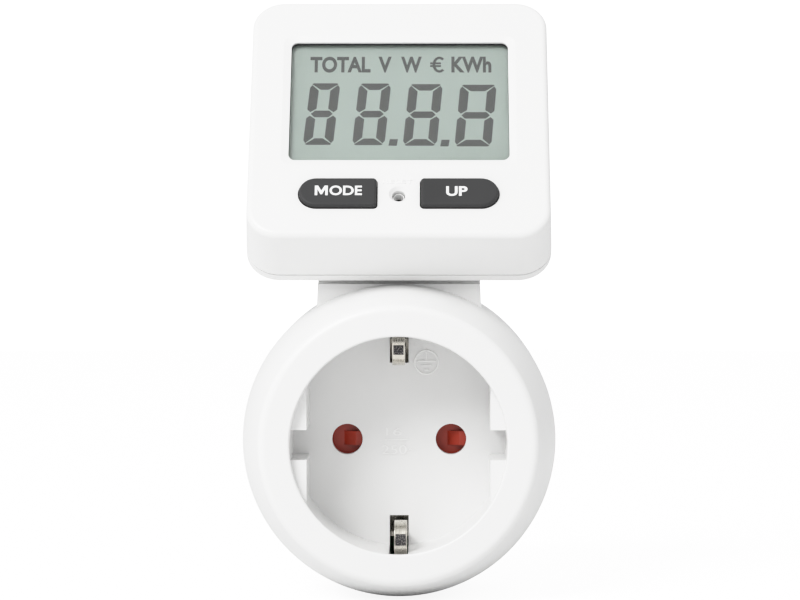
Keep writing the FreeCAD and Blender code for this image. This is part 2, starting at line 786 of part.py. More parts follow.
def plug_end_trims(end):
    """An earth groove in the plug, and the slot that lets its strip into the case."""
    half = s.groove_width / 2
    slot_half = s.strip_width / 2 + s.fit_gap
    floor_z = plug_r - s.groove_depth
    groove = span(end, floor_z, plug_r + PAST)
    slot = span(end, floor_z, floor_z + s.strap_wall + s.fit_gap)
    return [box(-half, half, wall_y, PAST, *groove),
            box(-slot_half, slot_half, flange_y - PAST, wall_y + PAST, *slot)]


def rear_shell():
    housing = turned_body([
        (split_y, inner_r),
        (split_y, flare_r - s.joint_groove),
        (split_y + s.joint_groove, flare_r - s.joint_groove),
        (split_y + s.joint_groove, flare_r),
        (taper_y, flare_r),
        (wall_y, s.base_dia / 2),
        (wall_y, plug_r),
        (0, plug_r),
        (0, 0),
        (flange_y, 0),
        (flange_y, s.base_dia / 2 - s.case_wall),
        (taper_y, inner_r),
    ])
    round_edges(housing, s.base_round, circle_at(wall_y, s.base_dia / 2))
    round_edges(housing, s.plug_round, circle_at(as_size(0), plug_r))
    pieces = [housing, neck_shell(split_y, wall_y), tongue()]
    trims = [neck_hollow(), plug_hollow()]
    for _name, side in SIDES:
        trims += plug_side_trims(side)
    for _name, end in ENDS:
        trims += plug_end_trims(end)
    for x, z in screw_spots():
        pieces.append(rod_along_y(x, z, well_r, split_y, flange_y + SINK))
        trims.append(rod_along_y(x, z, s.screw_dia / 2 + s.screw_gap, split_y - PAST, seat_y + PAST))
        trims.append(rod_along_y(x, z, s.screw_head_dia / 2 + s.screw_gap, seat_y, wall_y + PAST))
    return cut(fuse(*pieces), *trims)


keep("front_shell", front_shell())
keep("rear_shell", rear_shell())


CROSS_LENGTH, CROSS_WIDTH = 0.55, 0.125                   # half sizes, in radii of the screw's head


def cross_head_screw(x, z, seat, thread_r, length, head_r, head_height):
    """A screw that points forwards from its seat, with a cross half its head deep."""
    shaft = rod_along_y(x, z, thread_r, seat - length, seat)
    head = rod_along_y(x, z, head_r, seat, seat + head_height)
    floor, top = seat + head_height / 2, seat + head_height + PAST
    arm, half = head_r * CROSS_LENGTH, head_r * CROSS_WIDTH
    cross = [box(x - across, x + across, floor, top, z - upright, z + upright)
             for across, upright in ((arm, half), (half, arm))]
    return cut(fuse(shaft, head), *cross)


def case_screws():
    sizes = (s.screw_dia / 2, s.screw_length, s.screw_head_dia / 2, s.screw_head_height)
    return group(*[cross_head_screw(x, z, seat_y, *sizes) for x, z in screw_spots()])


keep("case_screws", case_screws())

# ---------------------------------------------------------------- hinge pins and cable

lug_end = s.lug_start + s.lug_width
ear_end = lug_end + s.side_gap + s.ear_width


def hinge_pins():
    pins = []
    for _name, side in SIDES:
        x0, x1 = span(side, s.lug_start, ear_end)
        pins.append(rod_along_x(hinge_y, s.hinge_height, s.hinge_pin_dia / 2, x0, x1))
    return group(*pins)


keep("hinge_pins", hinge_pins())


def display_cable_case():
    """The ribbon from the power board up the neck to the tilt axis."""
    low = s.power_board_dia / 2 - 1.6                     # where it meets the board, inside its edge
    level_run = 1.2                                       # past the neck's wall before it drops
    route = doc.addObject("Sketcher::SketchObject", "cable_route")
    place(route, -cable_half, 0, 0, SIDE_PLANE)
    draw(route, [
        (hinge_y + s.cable_end_gap + s.cable_wall / 2, s.hinge_height),
        (hinge_y + neck_gap + s.case_wall + level_run, s.hinge_height),
        (rim_y + 30, low),
        (board_y - s.cable_wall / 2, low),
    ], closed=False)
    ribbon = doc.addObject("Part::Offset2D", "cable_ribbon")
    ribbon.Source = route
    ribbon.Fill = True
    bind(ribbon, Value=s.cable_wall / 2)
    return straight_sweep(ribbon, X_AXIS, s.cable_width)


keep("display_cable_case", display_cable_case())

# ---------------------------------------------------------------- plug pins and earth

clip_root_z = plug_r - s.groove_depth - 0.15
strap_z = clip_root_z + s.clip_wall
strip_z = plug_r - s.groove_depth + s.running_gap
bridge_y = carrier_back + 0.2


def plug_pin(side):
    """A round-ended pin with a thicker seat, a collar and a flat tail inside the plug."""
    tip, radius, curve = s.pin_length, s.pin_dia / 2, s.pin_tip_round
    inside = -s.plug_end_wall
    pin = turned_body([
        (inside, 0),
        (tip, 0),
        (tip, radius - curve, Bend(tip - curve, radius - curve, 1)),
        (tip - curve, radius),
        (0, radius),
        (0, s.pin_seat_dia / 2),
        (inside, s.pin_seat_dia / 2),
    ])
    collar_end = inside - s.collar_length
    collar = rod_along_y(0, 0, collar_r, collar_end, inside)
    half = s.tail_width / 2
    tail = box(-half, half, collar_end - s.tail_length, collar_end, s.strap_wall / 2, s.strap_wall * 1.5)
    return place(group(fuse(pin, collar, tail)), side * pin_x, 0, 0)


def earth_clip(end):
    """A sprung strip that bulges into the recess and runs back through its slot."""
    wall = s.clip_wall
    bends = [                                             # y, z, and the way to its outer face
        (rim_y + 3.6, recess_r + 0.9, 1, 0),
        (rim_y + 3.4, recess_r - 1.3, 1, 0),
        (rim_y + 3.9, s.clip_reach + 1.9, 1, 0.2),
        (rim_y + 5.3, s.clip_reach + 0.6, 0.7, 0.9),
        (rim_y + 7.4, s.clip_reach, 0, 1),
        (rim_y + 9.6, s.clip_reach + 0.15, 0, 1),
        (floor_y - 0.6, clip_root_z, 0, 1),
        (carrier_back - 3, clip_root_z, 0, 1),
    ]
    path = [(y, z) for y, z, _back, _out in bends]
    back = [(y + wall * into, z + wall * outwards) for y, z, into, outwards in reversed(bends)]
    strip = slab_across_x([path + back], -s.clip_width / 2, s.clip_width / 2)
    return strip if end > 0 else flip(strip)


def flip(piece):
    """Turns a piece half round the socket axis, from the top to the bottom."""
    return place(group(piece), 0, 0, 0, FreeCAD.Rotation(Y_AXIS, 180))


def earth_bridge():
    """A bracket round the contact carrier that joins both clips and both plug strips."""
    reach = strap_z + s.strap_wall
    half, leg_half = s.strip_width / 2, s.tail_width / 2
    bar = box(-half, half, bridge_y, bridge_y + s.strap_wall, -reach, reach)
    leg_start = floor_back + 2.5                          # clear of the shutter guide's front
    legs = [box(-leg_half, leg_half, leg_start, bridge_y + s.strap_wall, *span(end, strap_z, reach))
            for _name, end in ENDS]
    return fuse(bar, *legs)


def plug_earth_strip():
    """A contact strip along the plug's top groove, with a foot on the earth bridge."""
    z1 = strip_z + s.strap_wall
    half = s.strip_width / 2
    foot_y = bridge_y + s.strap_wall
    strip_end = -1.2                                      # behind the plug's end face
    run = box(-half, half, foot_y, strip_end, strip_z, z1)
    foot = box(-half, half, foot_y, foot_y + s.strap_wall, strip_z - s.strip_foot, z1)
    return fuse(run, foot)


def earth_rivets():
    """Rivets through clip and bridge, and through bridge and strip foot."""
    stand = 0.5                                           # a rivet's head above a clip or a leg
    foot_stand = 0.15
    rivets = []
    for _name, end in ENDS:
        z0, z1 = span(end, clip_root_z - stand, strap_z + s.strap_wall + stand)
        upright = doc.addObject("Part::Cylinder", "rivet")
        bind(upright, Radius=s.rivet_dia / 2, Height=z1 - z0)
        place(upright, 0, carrier_back - 5, z0)
        rivets.append(upright)
        foot_z = end * (plug_r - s.groove_depth - s.strip_foot * 0.6)
        foot_end = bridge_y + 2 * (s.strap_wall + foot_stand)
        rivets.append(rod_along_y(0, foot_z, s.foot_rivet_dia / 2, bridge_y - foot_stand, foot_end))
    return rivets


rivets = earth_rivets()
clip_top, clip_bottom = earth_clip(1), earth_clip(-1)
strip_top = plug_earth_strip()
strip_bottom = flip(plug_earth_strip())
keep("earth_clip_top", cut(clip_top, *rivets))
keep("earth_clip_bottom", cut(clip_bottom, *rivets))
keep("earth_bridge", cut(earth_bridge(), *rivets))
keep("plug_earth_strip_top", cut(strip_top, *rivets))
keep("plug_earth_strip_bottom", cut(strip_bottom, *rivets))
keep("earth_rivets", group(*rivets))
for name, side in SIDES:
    keep(f"plug_pin_{name}", plug_pin(side))

# ---------------------------------------------------------------- shutter

shutter_y = floor_back + s.slide_gap + s.ramp_height
shutter_back = shutter_y + s.shutter_wall
guide_y = shutter_back + s.slide_gap
half_slide = s.shutter_height / 2
contact_hole_r = s.hole_dia / 2 + 0.2
spring_r = s.spring_dia / 2
spring_z = half_slide + s.spring_dia + 0.2
tab_x = -s.shutter_reach + 1.5


def ramp(side):
    """The slope in front of a pin hole that a pin pushes sideways."""
    foot, top = shutter_y + SINK, shutter_y - s.ramp_height
    high = side * pin_x + s.hole_dia / 2 + 0.3            # the upright side, past the hole's edge
    slope_foot, slope_top = high - 4.2, high - 1.6
    outline = doc.addObject("Sketcher::SketchObject", "ramp_outline")
    place(outline, 0, 0, -s.ramp_width / 2)
    draw(outline, [(high, top), (high, foot), (slope_foot, foot), (slope_top, top)])
    return straight_sweep(outline, Z_AXIS, s.ramp_width)


def shutter():
    """A sliding plate with a ramp in front of each pin hole and a spring tab at one side."""
    hole_r = s.hole_dia / 2
    plate = box(-s.shutter_reach, s.shutter_reach, shutter_y, shutter_back, -half_slide, half_slide)
    opening_end = pin_x + hole_r - s.shutter_travel + 0.3
    opening_start = opening_end - s.hole_dia - 0.3
    opening = box(opening_start, opening_end, shutter_y - PAST, shutter_back + PAST,
                  -hole_r - s.fit_gap, hole_r + s.fit_gap)
    tab = box(-s.shutter_reach, tab_x, shutter_y, shutter_back, half_slide - SINK, spring_z + spring_r)
    return fuse(cut(fuse(plate, tab), opening), *[ramp(side) for _name, side in SIDES])


def shutter_guide():
    """The channel that holds the shutter against the recess floor, with a post for its spring."""
    reach = s.shutter_reach + s.shutter_travel + 1.0
    rail = half_slide + s.slide_gap
    low = -rail - s.guide_wall
    top = spring_z + spring_r + s.guide_wall
    spring_roof = spring_z + spring_r + 0.4
    plate = box(-reach, reach, guide_y, carrier_y, low, top)
    rails = [box(-reach, reach, floor_back, guide_y, low, -rail),
             box(s.spring_post, reach, floor_back, guide_y, rail, top),
             box(-reach, s.spring_post, floor_back, guide_y, spring_roof, top)]
    holes = [rod_along_y(side * pin_x, 0, contact_hole_r, guide_y - PAST, carrier_y + PAST)
             for _name, side in SIDES]
    return cut(fuse(plate, *rails), *holes)


def shutter_spring():
    """The return spring as a helix of round wire between the tab and the guide's post."""
    turns = 9
    wire_r = s.spring_wire_dia / 2
    radius = spring_r.value - wire_r.value - s.running_gap.value
    length = s.spring_post.value - tab_x.value - s.spring_wire_dia.value
    helix = Part.makeHelix(length / turns, length, radius)
    wire_end = Part.makeCircle(wire_r.value, FreeCAD.Vector(radius, 0, 0), Y_AXIS)
    spring = doc.addObject("Part::Feature", "shutter_spring")
    spring.Shape = Part.Wire(helix.Edges).makePipeShell([Part.Wire([wire_end])], True, True)
    return place(spring, tab_x + wire_r, shutter_back - spring_r + 0.15, spring_z, ALONG_X)


keep("shutter", shutter())
keep("shutter_guide", shutter_guide())
keep("shutter_spring", shutter_spring())

# ---------------------------------------------------------------- contacts and power parts

leaf_gap = s.pin_dia / 2 + s.running_gap
leaf_outer = leaf_gap + s.leaf_wall
contact_front = carrier_y + 1.0
contact_back = carrier_back - 1.6


def socket_contact(side):
    """Two leaves that grip a pin, on a base; their mouths open towards the pin."""
    mouth_run, mouth_flare, mouth_lap, base_wall = 1, 0.8, 0.1, 0.8
    mouth = contact_front + mouth_run
    outline = [
        (contact_back, -leaf_outer), (contact_back, leaf_outer), (mouth, leaf_outer),
        (contact_front, leaf_outer + mouth_flare), (contact_front, leaf_outer + mouth_lap),
        (mouth, leaf_gap),
        (contact_back - base_wall, leaf_gap), (contact_back - base_wall, -leaf_gap),
        (mouth, -leaf_gap), (contact_front, -leaf_outer - mouth_lap),
        (contact_front, -leaf_outer - mouth_flare), (mouth, -leaf_outer),
    ]
    x, half = side * pin_x, s.leaf_width / 2
    return slab_across_x([outline], x - half, x + half)


def contact_carrier():
    """A block with a well for each contact, a slot for each bus bar and a lightening pocket."""
    half_x, half_z = s.carrier_width / 2, s.carrier_height / 2
    block = box(-half_x, half_x, carrier_y, carrier_back, -half_z, half_z)
    leaf_room = 1.15                                      # above a contact's leaves, for its mouth
    well_x, well_z = s.leaf_width / 2 + s.side_gap, leaf_outer + leaf_room
    slot_x, slot_z = s.tail_width / 2 + s.fit_gap, s.strap_wall / 2 + s.fit_gap
    pocket_x, pocket_z, pocket_wall = 4, 5.5, 2.5
    wells = [box(-pocket_x, pocket_x, carrier_y - PAST, carrier_back - pocket_wall, -pocket_z, pocket_z)]
    for _name, side in SIDES:
        x = side * pin_x
        wells.append(box(x - well_x, x + well_x, carrier_y - PAST, contact_back, -well_z, well_z))
        wells.append(box(x - slot_x, x + slot_x, contact_back - PAST, carrier_back + PAST, -slot_z, slot_z))
        wells.append(rod_along_y(x, 0, contact_hole_r, carrier_y - PAST, carrier_y + PAST))
    return cut(block, *wells)


def bus(side, start, end):
    x, half = side * pin_x, s.tail_width / 2
    return box(x - half, x + half, start, end, -s.strap_wall / 2, s.strap_wall / 2)


tail_y = -s.plug_end_wall - 2.5
shunt_start, shunt_end = flange_y + 1.0, flange_y + 7.0
keep("contact_carrier", contact_carrier())
for name, side in SIDES:
    keep(f"socket_contact_{name}", socket_contact(side))
keep("live_bus", bus(1, contact_back, tail_y))
keep("neutral_bus_front", bus(-1, contact_back, shunt_start))
keep("current_shunt", bus(-1, shunt_start, shunt_end))
keep("neutral_bus_rear", bus(-1, shunt_end, tail_y))


def power_board():
    """A round board with gaps for the screw wells, the bus bars and the earth strips."""
    disc = rod_along_y(0, 0, s.power_board_dia / 2, board_y, board_back)
    front, back = board_y - PAST, board_back + PAST
    gaps = [rod_along_y(x, z, well_r + s.well_room, front, back) for x, z in screw_spots()]
    bus_x, bus_z = s.tail_width / 2 + 0.2, s.strap_wall / 2 + 0.2
    for _name, side in SIDES:
        x = side * pin_x
        gaps.append(box(x - bus_x, x + bus_x, front, back, -bus_z, bus_z))
    strip_x, strip_room = s.strip_width / 2 + 0.4, 0.35
    for _name, end in ENDS:
        z0, z1 = span(end, strip_z - strip_room, strip_z + s.strap_wall + strip_room)
        gaps.append(box(-strip_x, strip_x, front, back, z0, z1))
    return cut(disc, *gaps)


LEAD_R = 0.3
LEAD_SINK = 2.0                                           # a lead runs this far into its part


def leads(spots, z):
    """Wire leads from a part in front of the power board, at the same height."""
    return [rod_along_y(x, z, LEAD_R, board_y - LEAD_SINK, board_y) for x in spots]


def film_capacitor():
    """A box behind the board, between the bus bars, on two leads."""
    half_width, half_height, length, standoff, lead_z = 4.3, 8, 11.6, 0.4, 6
    front = board_back + standoff
    body = box(-half_width, half_width, front, front + length, -half_height, half_height)
    return fuse(body, *[rod_along_y(0, end * lead_z, LEAD_R, board_back, front + LEAD_SINK)
                        for _name, end in ENDS])


def electrolytic_capacitor():
    """A can that stands in front of the board."""
    x, z, radius, length, standoff, lead_x = 9, 17.4, 3.6, 11.1, 0.4, 1.2
    can_back = board_y - standoff
    can = rod_along_y(x, z, radius, can_back - length, can_back)
    return fuse(can, *leads((x - lead_x, x + lead_x), z))


def varistor():
    """A disc on edge in front of the board."""
    x, z, radius, thickness, lead_x = -8.9, 15.6, 4.4, 3.4, 1.1
    disc = rod_along_x(board_y - radius - 1.2, z, radius, x - thickness / 2, x + thickness / 2)
    return fuse(disc, *leads((x - lead_x, x + lead_x), z))


def fusible_resistor():
    """A round body that lies along the board."""
    x, z, radius, length, lead_x = -7.7, -13.6, 1.9, 9, 3.5
    body = rod_along_x(board_y - radius - 1.1, z, radius, x - length / 2, x + length / 2)
    return fuse(body, *leads((x - lead_x, x + lead_x), z))


def block_in_front_of_board(x, z, width, height, thickness):
    """A moulded package on the front of the power board, about its middle."""
    return box(x - width / 2, x + width / 2, board_y - thickness, board_y, z - height / 2, z + height / 2)


keep("power_board", power_board())
keep("film_capacitor", film_capacitor())
keep("electrolytic_capacitor", electrolytic_capacitor())
keep("varistor", varistor())
keep("fusible_resistor", fusible_resistor())
keep("rectifier", block_in_front_of_board(8, -13.6, 5, 4, 2.5))
keep("metering_chip", block_in_front_of_board(-8, -19.4, 8, 4, 1.6))

# ---------------------------------------------------------------- shared places, head

hinge_in = s.head_thickness - s.hinge_inset
head_joint = s.head_thickness - s.head_rear_depth
half_w = s.head_width / 2
back_inner = s.head_thickness - s.head_wall
window_low = s.window_rise - s.window_height / 2
window_high = s.window_rise + s.window_height / 2
board_front = s.head_thickness - s.board_room
board_end = board_front + s.board_wall
post_r = s.head_post_dia / 2
post_sink = 0.5                                           # posts run this far into the corner walls
post_in = s.head_corner - (s.head_corner - s.head_wall - post_r + post_sink) / math.sqrt(2)
POSTS = [(side * (half_w - post_in), z) for z in (post_in, s.head_height - post_in) for side in (-1, 1)]
head_screw_r = s.head_screw_dia / 2
head_seat = s.head_thickness - s.head_screw_sink


def head_outline(inset):
    """The head's outline, drawn in by the same amount all round."""
    inset = as_size(inset)
    half, top = half_w - inset, s.head_height - inset
    return rounded_rectangle(-half, half, inset, top, s.head_corner - inset)


def window_outline(grow):
    """The display opening, or a piece that laps behind its edge by the given amount."""
    grow = as_size(grow)
    half = s.window_width / 2 + grow
    low, high = window_low - grow, window_high + grow
    return rounded_rectangle(-half, half, low, high, s.window_corner + grow / 2)


def button_outline(side, grow):
    """A bar with a half-round outer end and two small corners at its inner end."""
    grow = as_size(grow)
    radius = s.button_height / 2 + grow
    corner = s.button_corner + grow
    inner = s.button_inner - grow
    outer = s.button_inner + s.button_length - s.button_height / 2
    low, high = s.button_rise - radius, s.button_rise + radius
    if side > 0:
        return [
            (inner + corner, low), (outer, low, Bend(outer, s.button_rise)), (outer, high),
            (inner + corner, high, Bend(inner + corner, high - corner)), (inner, high - corner),
            (inner, low + corner, Bend(inner + corner, low + corner)),
        ]
    return [
        (-outer, low), (-inner - corner, low, Bend(-inner - corner, low + corner)),
        (-inner, low + corner), (-inner, high - corner, Bend(-inner - corner, high - corner)),
        (-inner - corner, high), (-outer, high, Bend(-outer, s.button_rise)),
    ]


def window_bevel():
    """The shallow slope round the display opening, as the solid that it takes away."""
    lips = []
    for grow, depth in ((s.bevel_width * 2, -s.bevel_depth), (0, s.bevel_depth)):
        lip = doc.addObject("Sketcher::SketchObject", "bevel_lip")
        place(lip, 0, depth, 0, FRONT_PLANE)
        draw(lip, window_outline(grow))
        lips.append(lip)
    bevel = doc.addObject("Part::Loft", "window_bevel")
    bevel.Sections = lips
    bevel.Solid = True
    bevel.Ruled = True
    return bevel


def reset_funnel():
    funnel = doc.addObject("Part::Cone", "reset_funnel")
    bind(funnel, Radius1=s.reset_dia / 2 + s.reset_sink, Radius2=s.reset_dia / 2, Height=s.reset_sink)
    return place(funnel, 0, -0.01, s.button_rise, ALONG_Y)


def head_post(x, z):
    """A screw post behind the face, bored for its screw."""
    bore = rod_along_y(x, z, head_screw_r, s.head_wall + 1.5, head_joint + PAST)
    return cut(rod_along_y(x, z, post_r, s.head_wall - SINK, head_joint), bore)


def head_front_shell():
    shell = doc.addObject("PartDesign::Body", "head_front")
    slope = s.head_draft / head_joint
    draft = Size(f"atan({slope.text})", math.degrees(math.atan(slope.value)))
    behind_face = s.head_wall + PAST
    pad(shell, [head_outline(s.head_draft)], 0, head_joint, draft)
    round_edges(shell, s.face_round, in_plane_y(as_size(0)))
    pocket(shell, [head_outline(s.head_wall)], s.head_wall, head_joint)
    pocket(shell, [window_outline(0)], -PAST, behind_face)
    pocket(shell, [window_outline(s.lens_lap + s.fit_gap)], s.lens_depth, behind_face)
    trims = [slab_across_y([button_outline(side, s.button_gap)], -PAST, behind_face) for _name, side in SIDES]
    trims.append(rod_along_y(0, s.button_rise, s.reset_dia / 2, -PAST, behind_face))
    return fuse(cut(shell, window_bevel(), reset_funnel(), *trims), *[head_post(x, z) for x, z in POSTS])


def head_tongue():
    """A thin lip inside the head's joint, clear of the screw posts."""
    lip_in = s.head_wall + s.fit_gap
    front = head_joint - s.head_tongue
    outer = slab_across_y([head_outline(lip_in)], front, back_inner + SINK)
    inner = slab_across_y([head_outline(lip_in + s.tongue_wall)], front - PAST, back_inner + PAST)
    posts = [rod_along_y(x, z, post_r + s.fit_gap, front - PAST, head_joint) for x, z in POSTS]
    return cut(outer, inner, *posts)


def head_lug(side):
    """A lug round the tilt axis, on a stem from the back wall."""
    radius = s.knuckle_dia / 2
    x0, x1 = span(side, s.lug_start, lug_end)
    low, high = s.hinge_rise - radius, s.hinge_rise + radius
    stem = box(x0, x1, hinge_in - radius, back_inner + SINK, low, high)
    return fuse(rod_along_x(hinge_in, s.hinge_rise, radius, x0, x1), stem)


def head_back_opening(x0, x1, below, above):
    """A gap in the head's back, from below to above the tilt axis."""
    near, far = head_joint - s.head_tongue - PAST, s.head_thickness + PAST
    return box(x0, x1, near, far, s.hinge_rise - below, s.hinge_rise + above)


def head_rear_shell():
    shell = doc.addObject("PartDesign::Body", "head_rear")
    groove_end = head_joint + s.joint_groove
    pad(shell, [head_outline(0)], groove_end, s.head_thickness)
    pad(shell, [head_outline(s.joint_groove)], head_joint, groove_end + s.joint_groove)
    round_edges(shell, s.back_round, in_plane_y(s.head_thickness))
    pocket(shell, [head_outline(s.head_wall)], head_joint - PAST, back_inner)
    post_back = s.head_thickness - SINK
    posts = [rod_along_y(x, z, post_r + 0.6, head_joint, post_back) for x, z in POSTS]
    ear_room = s.knuckle_dia / 2 + 0.4
    cable_below, cable_above = 1.6, 3.4
    openings = [head_back_opening(-cable_slot_half, cable_slot_half, cable_below, cable_above)]
    for _name, side in SIDES:
        x0, x1 = span(side, lug_end, ear_end + s.side_gap)
        openings.append(head_back_opening(x0, x1, ear_room, ear_room))
    opened = cut(fuse(shell, head_tongue(), *posts), *openings)
    solid = fuse(opened, *[head_lug(side) for _name, side in SIDES])
    reach = lug_end + PAST
    trims = [rod_along_x(hinge_in, s.hinge_rise, s.hinge_pin_dia / 2 + s.running_gap, -reach, reach)]
    for x, z in POSTS:
        trims.append(rod_along_y(x, z, head_screw_r + s.head_screw_gap, head_joint - PAST, head_seat + PAST))
        trims.append(rod_along_y(x, z, s.head_screw_head_dia / 2 + s.head_screw_gap, head_seat,
                                 s.head_thickness + PAST))
    return cut(solid, *trims)


def head_screws():
    sizes = (head_screw_r, s.head_screw_length, s.head_screw_head_dia / 2, s.head_screw_head_height)
    return group(*[cross_head_screw(x, z, head_seat, *sizes) for x, z in POSTS])


keep_in_head("head_front_shell", head_front_shell())
keep_in_head("head_rear_shell", head_rear_shell())
keep_in_head("head_screws", head_screws())

# ---------------------------------------------------------------- display

lens_back = s.lens_depth + s.lens_wall
lcd_front = lens_back + s.lcd_gap
lcd_back = lcd_front + s.lcd_wall
reflector_back = lcd_back + s.reflector_wall


def behind_window(lap, front, back):
    """A plate behind the display opening that laps its edge."""
    return slab_across_y([window_outline(lap)], front, back)


def lcd_frame():
    """A frame that holds the display glass between the face and the head board."""
    room = behind_window(s.lcd_lap + s.fit_gap * 2, lens_back - PAST, board_front + PAST)
    return cut(behind_window(s.frame_lap, lens_back, board_front), room)


def lcd_contact_strips():
    """Two elastomer strips that press the display glass's contacts on the board."""
    half = s.window_width / 2 - 1.5
    lap = 0.6                                             # past the edge of the opening
    lows = (window_low - lap, window_high + lap - s.contact_strip_width)
    return group(*[box(-half, half, reflector_back, board_front, low, low + s.contact_strip_width)
                   for low in lows])


keep_in_head("display_window", behind_window(s.lens_lap, s.lens_depth, lens_back))
keep_in_head("lcd_panel", behind_window(s.lcd_lap, lcd_front, lcd_back))
keep_in_head("lcd_reflector", behind_window(s.reflector_lap, lcd_back, reflector_back))
keep_in_head("lcd_frame", lcd_frame())
keep_in_head("lcd_contact_strips", lcd_contact_strips())

# ---------------------------------------------------------------- head board


def head_board():
    """A board behind the display, cut round the screw posts and the hinge."""
    half = half_w - s.head_wall - s.board_inset
    low, high = s.head_wall + s.board_inset, s.head_height - s.head_wall - s.board_inset
    outline = rounded_rectangle(-half, half, low, high, s.board_corner)
    board = slab_across_y([outline], board_front, board_end)
    gaps = [rod_along_y(x, z, post_r + s.side_gap, board_front - PAST, board_end + PAST) for x, z in POSTS]
    hinge_end = ear_end + s.side_gap
    gaps.append(rod_along_x(hinge_in, s.hinge_rise, s.knuckle_dia / 2 + s.fit_gap, -hinge_end, hinge_end))
    return cut(board, *gaps)


def controller_chip():
    side, thickness, z = 10, 1.4, 32
    half = side / 2
    return box(-half, half, board_end, board_end + thickness, z - half, z + half)


def clock_crystal():
    """A small can that lies on the board, with its lead at one end."""
    z, radius, x0, x1, lead_r = 20, 1, -10, -4, 0.2
    can = rod_along_x(board_end + radius + s.fit_gap, z, radius, x0, x1)
    return fuse(can, rod_along_y(x1 - radius, z, lead_r, board_end, board_end + radius))


CELL_X, CELL_Z, CELL_R, CELL_THICKNESS = 14, 36, 6, 2.9
cell_front = board_end + 0.3


def cell_holder():
    """A square tray with a round seat for the cell."""
    half, corner, depth = 7.5, 1.5, 2.2
    outline = rounded_rectangle(CELL_X - half, CELL_X + half, CELL_Z - half, CELL_Z + half, corner)
    seat = rod_along_y(CELL_X, CELL_Z, CELL_R + s.fit_gap, cell_front, cell_front + CELL_THICKNESS + PAST)
    return cut(slab_across_y([outline], board_end, board_end + depth), seat)


def display_cable_head():
    """The ribbon from the head board to the tilt axis."""
    half_wall = s.cable_wall / 2
    return box(-cable_half, cable_half, board_end, hinge_in - s.cable_end_gap,
               s.hinge_rise - half_wall, s.hinge_rise + half_wall)


keep_in_head("head_board", head_board())
keep_in_head("controller_chip", controller_chip())
keep_in_head("clock_crystal", clock_crystal())
keep_in_head("backup_cell", rod_along_y(CELL_X, CELL_Z, CELL_R, cell_front, cell_front + CELL_THICKNESS))
keep_in_head("cell_holder", cell_holder())
keep_in_head("display_cable_head", display_cable_head())

# ---------------------------------------------------------------- keys

plunger_end = board_front - s.key_gap - s.key_travel
switch_front = board_front - s.switch_depth
stem_end = switch_front - s.key_travel - s.key_gap
lip_front = s.head_wall + s.fit_gap
KEYS = (("mode", -1), ("up", 1))


def button_middle(side):
    return side * (s.button_inner + s.button_length / 2)


def button(side):
    """A cap with a retaining lip behind the face and a stem to its switch."""
    cap = doc.addObject("PartDesign::Body", "cap")
    pad(cap, [button_outline(side, 0)], -s.button_proud, lip_front)
    round_edges(cap, s.button_round, in_plane_y(-s.button_proud))
    lip = slab_across_y([button_outline(side, s.button_lip)], lip_front, lip_front + s.button_lip)
    stem = rod_along_y(button_middle(side), s.button_rise, s.stem_dia / 2, lip_front + SINK, stem_end)
    return fuse(cap, lip, stem)


def key_switch(x):
    """A switch on the front of the head board, with a well for its plunger."""
    half_x, half_z, well_floor = s.switch_width / 2, s.switch_height / 2, 0.2
    low, high = s.button_rise - half_z, s.button_rise + half_z
    base = box(x - half_x, x + half_x, switch_front, board_front, low, high)
    well_r = s.plunger_dia / 2 + s.fit_gap
    return cut(base, rod_along_y(x, s.button_rise, well_r, switch_front - PAST, board_front - well_floor))


def key_plunger(x):
    return rod_along_y(x, s.button_rise, s.plunger_dia / 2, stem_end, plunger_end)


def reset_plunger():
    """A pin reached through the reset hole, with a collar that keeps it behind the face."""
    pin_front, collar_front, collar_back, collar_radius = 1.2, 2.2, 2.9, 1.7
    pin = rod_along_y(0, s.button_rise, s.plunger_dia / 2, pin_front, plunger_end)
    return fuse(pin, rod_along_y(0, s.button_rise, collar_radius, collar_front, collar_back))


for name, side in KEYS:
    keep_in_head(f"{name}_button", button(side))
    keep_in_head(f"{name}_plunger", key_plunger(button_middle(side)))
    keep_in_head(f"{name}_switch", key_switch(button_middle(side)))
keep_in_head("reset_switch", key_switch(as_size(0)))
keep_in_head("reset_plunger", reset_plunger())

# ---------------------------------------------------------------- checks and files

doc.recompute()
for item in doc.Objects:
    if "Invalid" in item.State or "Error" in item.State:
        raise RuntimeError(f"{item.Name} ({item.Label}) failed: {item.State}")
os.makedirs("parts", exist_ok=True)
for label, piece in NODES.items():
    shape = piece.Shape
    if shape.isNull() or not shape.isValid() or not shape.Solids:
        raise RuntimeError(f"{label} has no valid solid")
for label, piece in NODES.items():
    piece.Shape.exportStep(os.path.join("parts", f"{label}.step"))
print(len(NODES), "nodes written")
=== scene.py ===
"""Plug-in power meter: finishes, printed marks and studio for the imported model."""
import json
import math

import bmesh
import bpy
import numpy as np
from bpy.props import FloatProperty, FloatVectorProperty, PointerProperty
from mathutils import Matrix, Vector

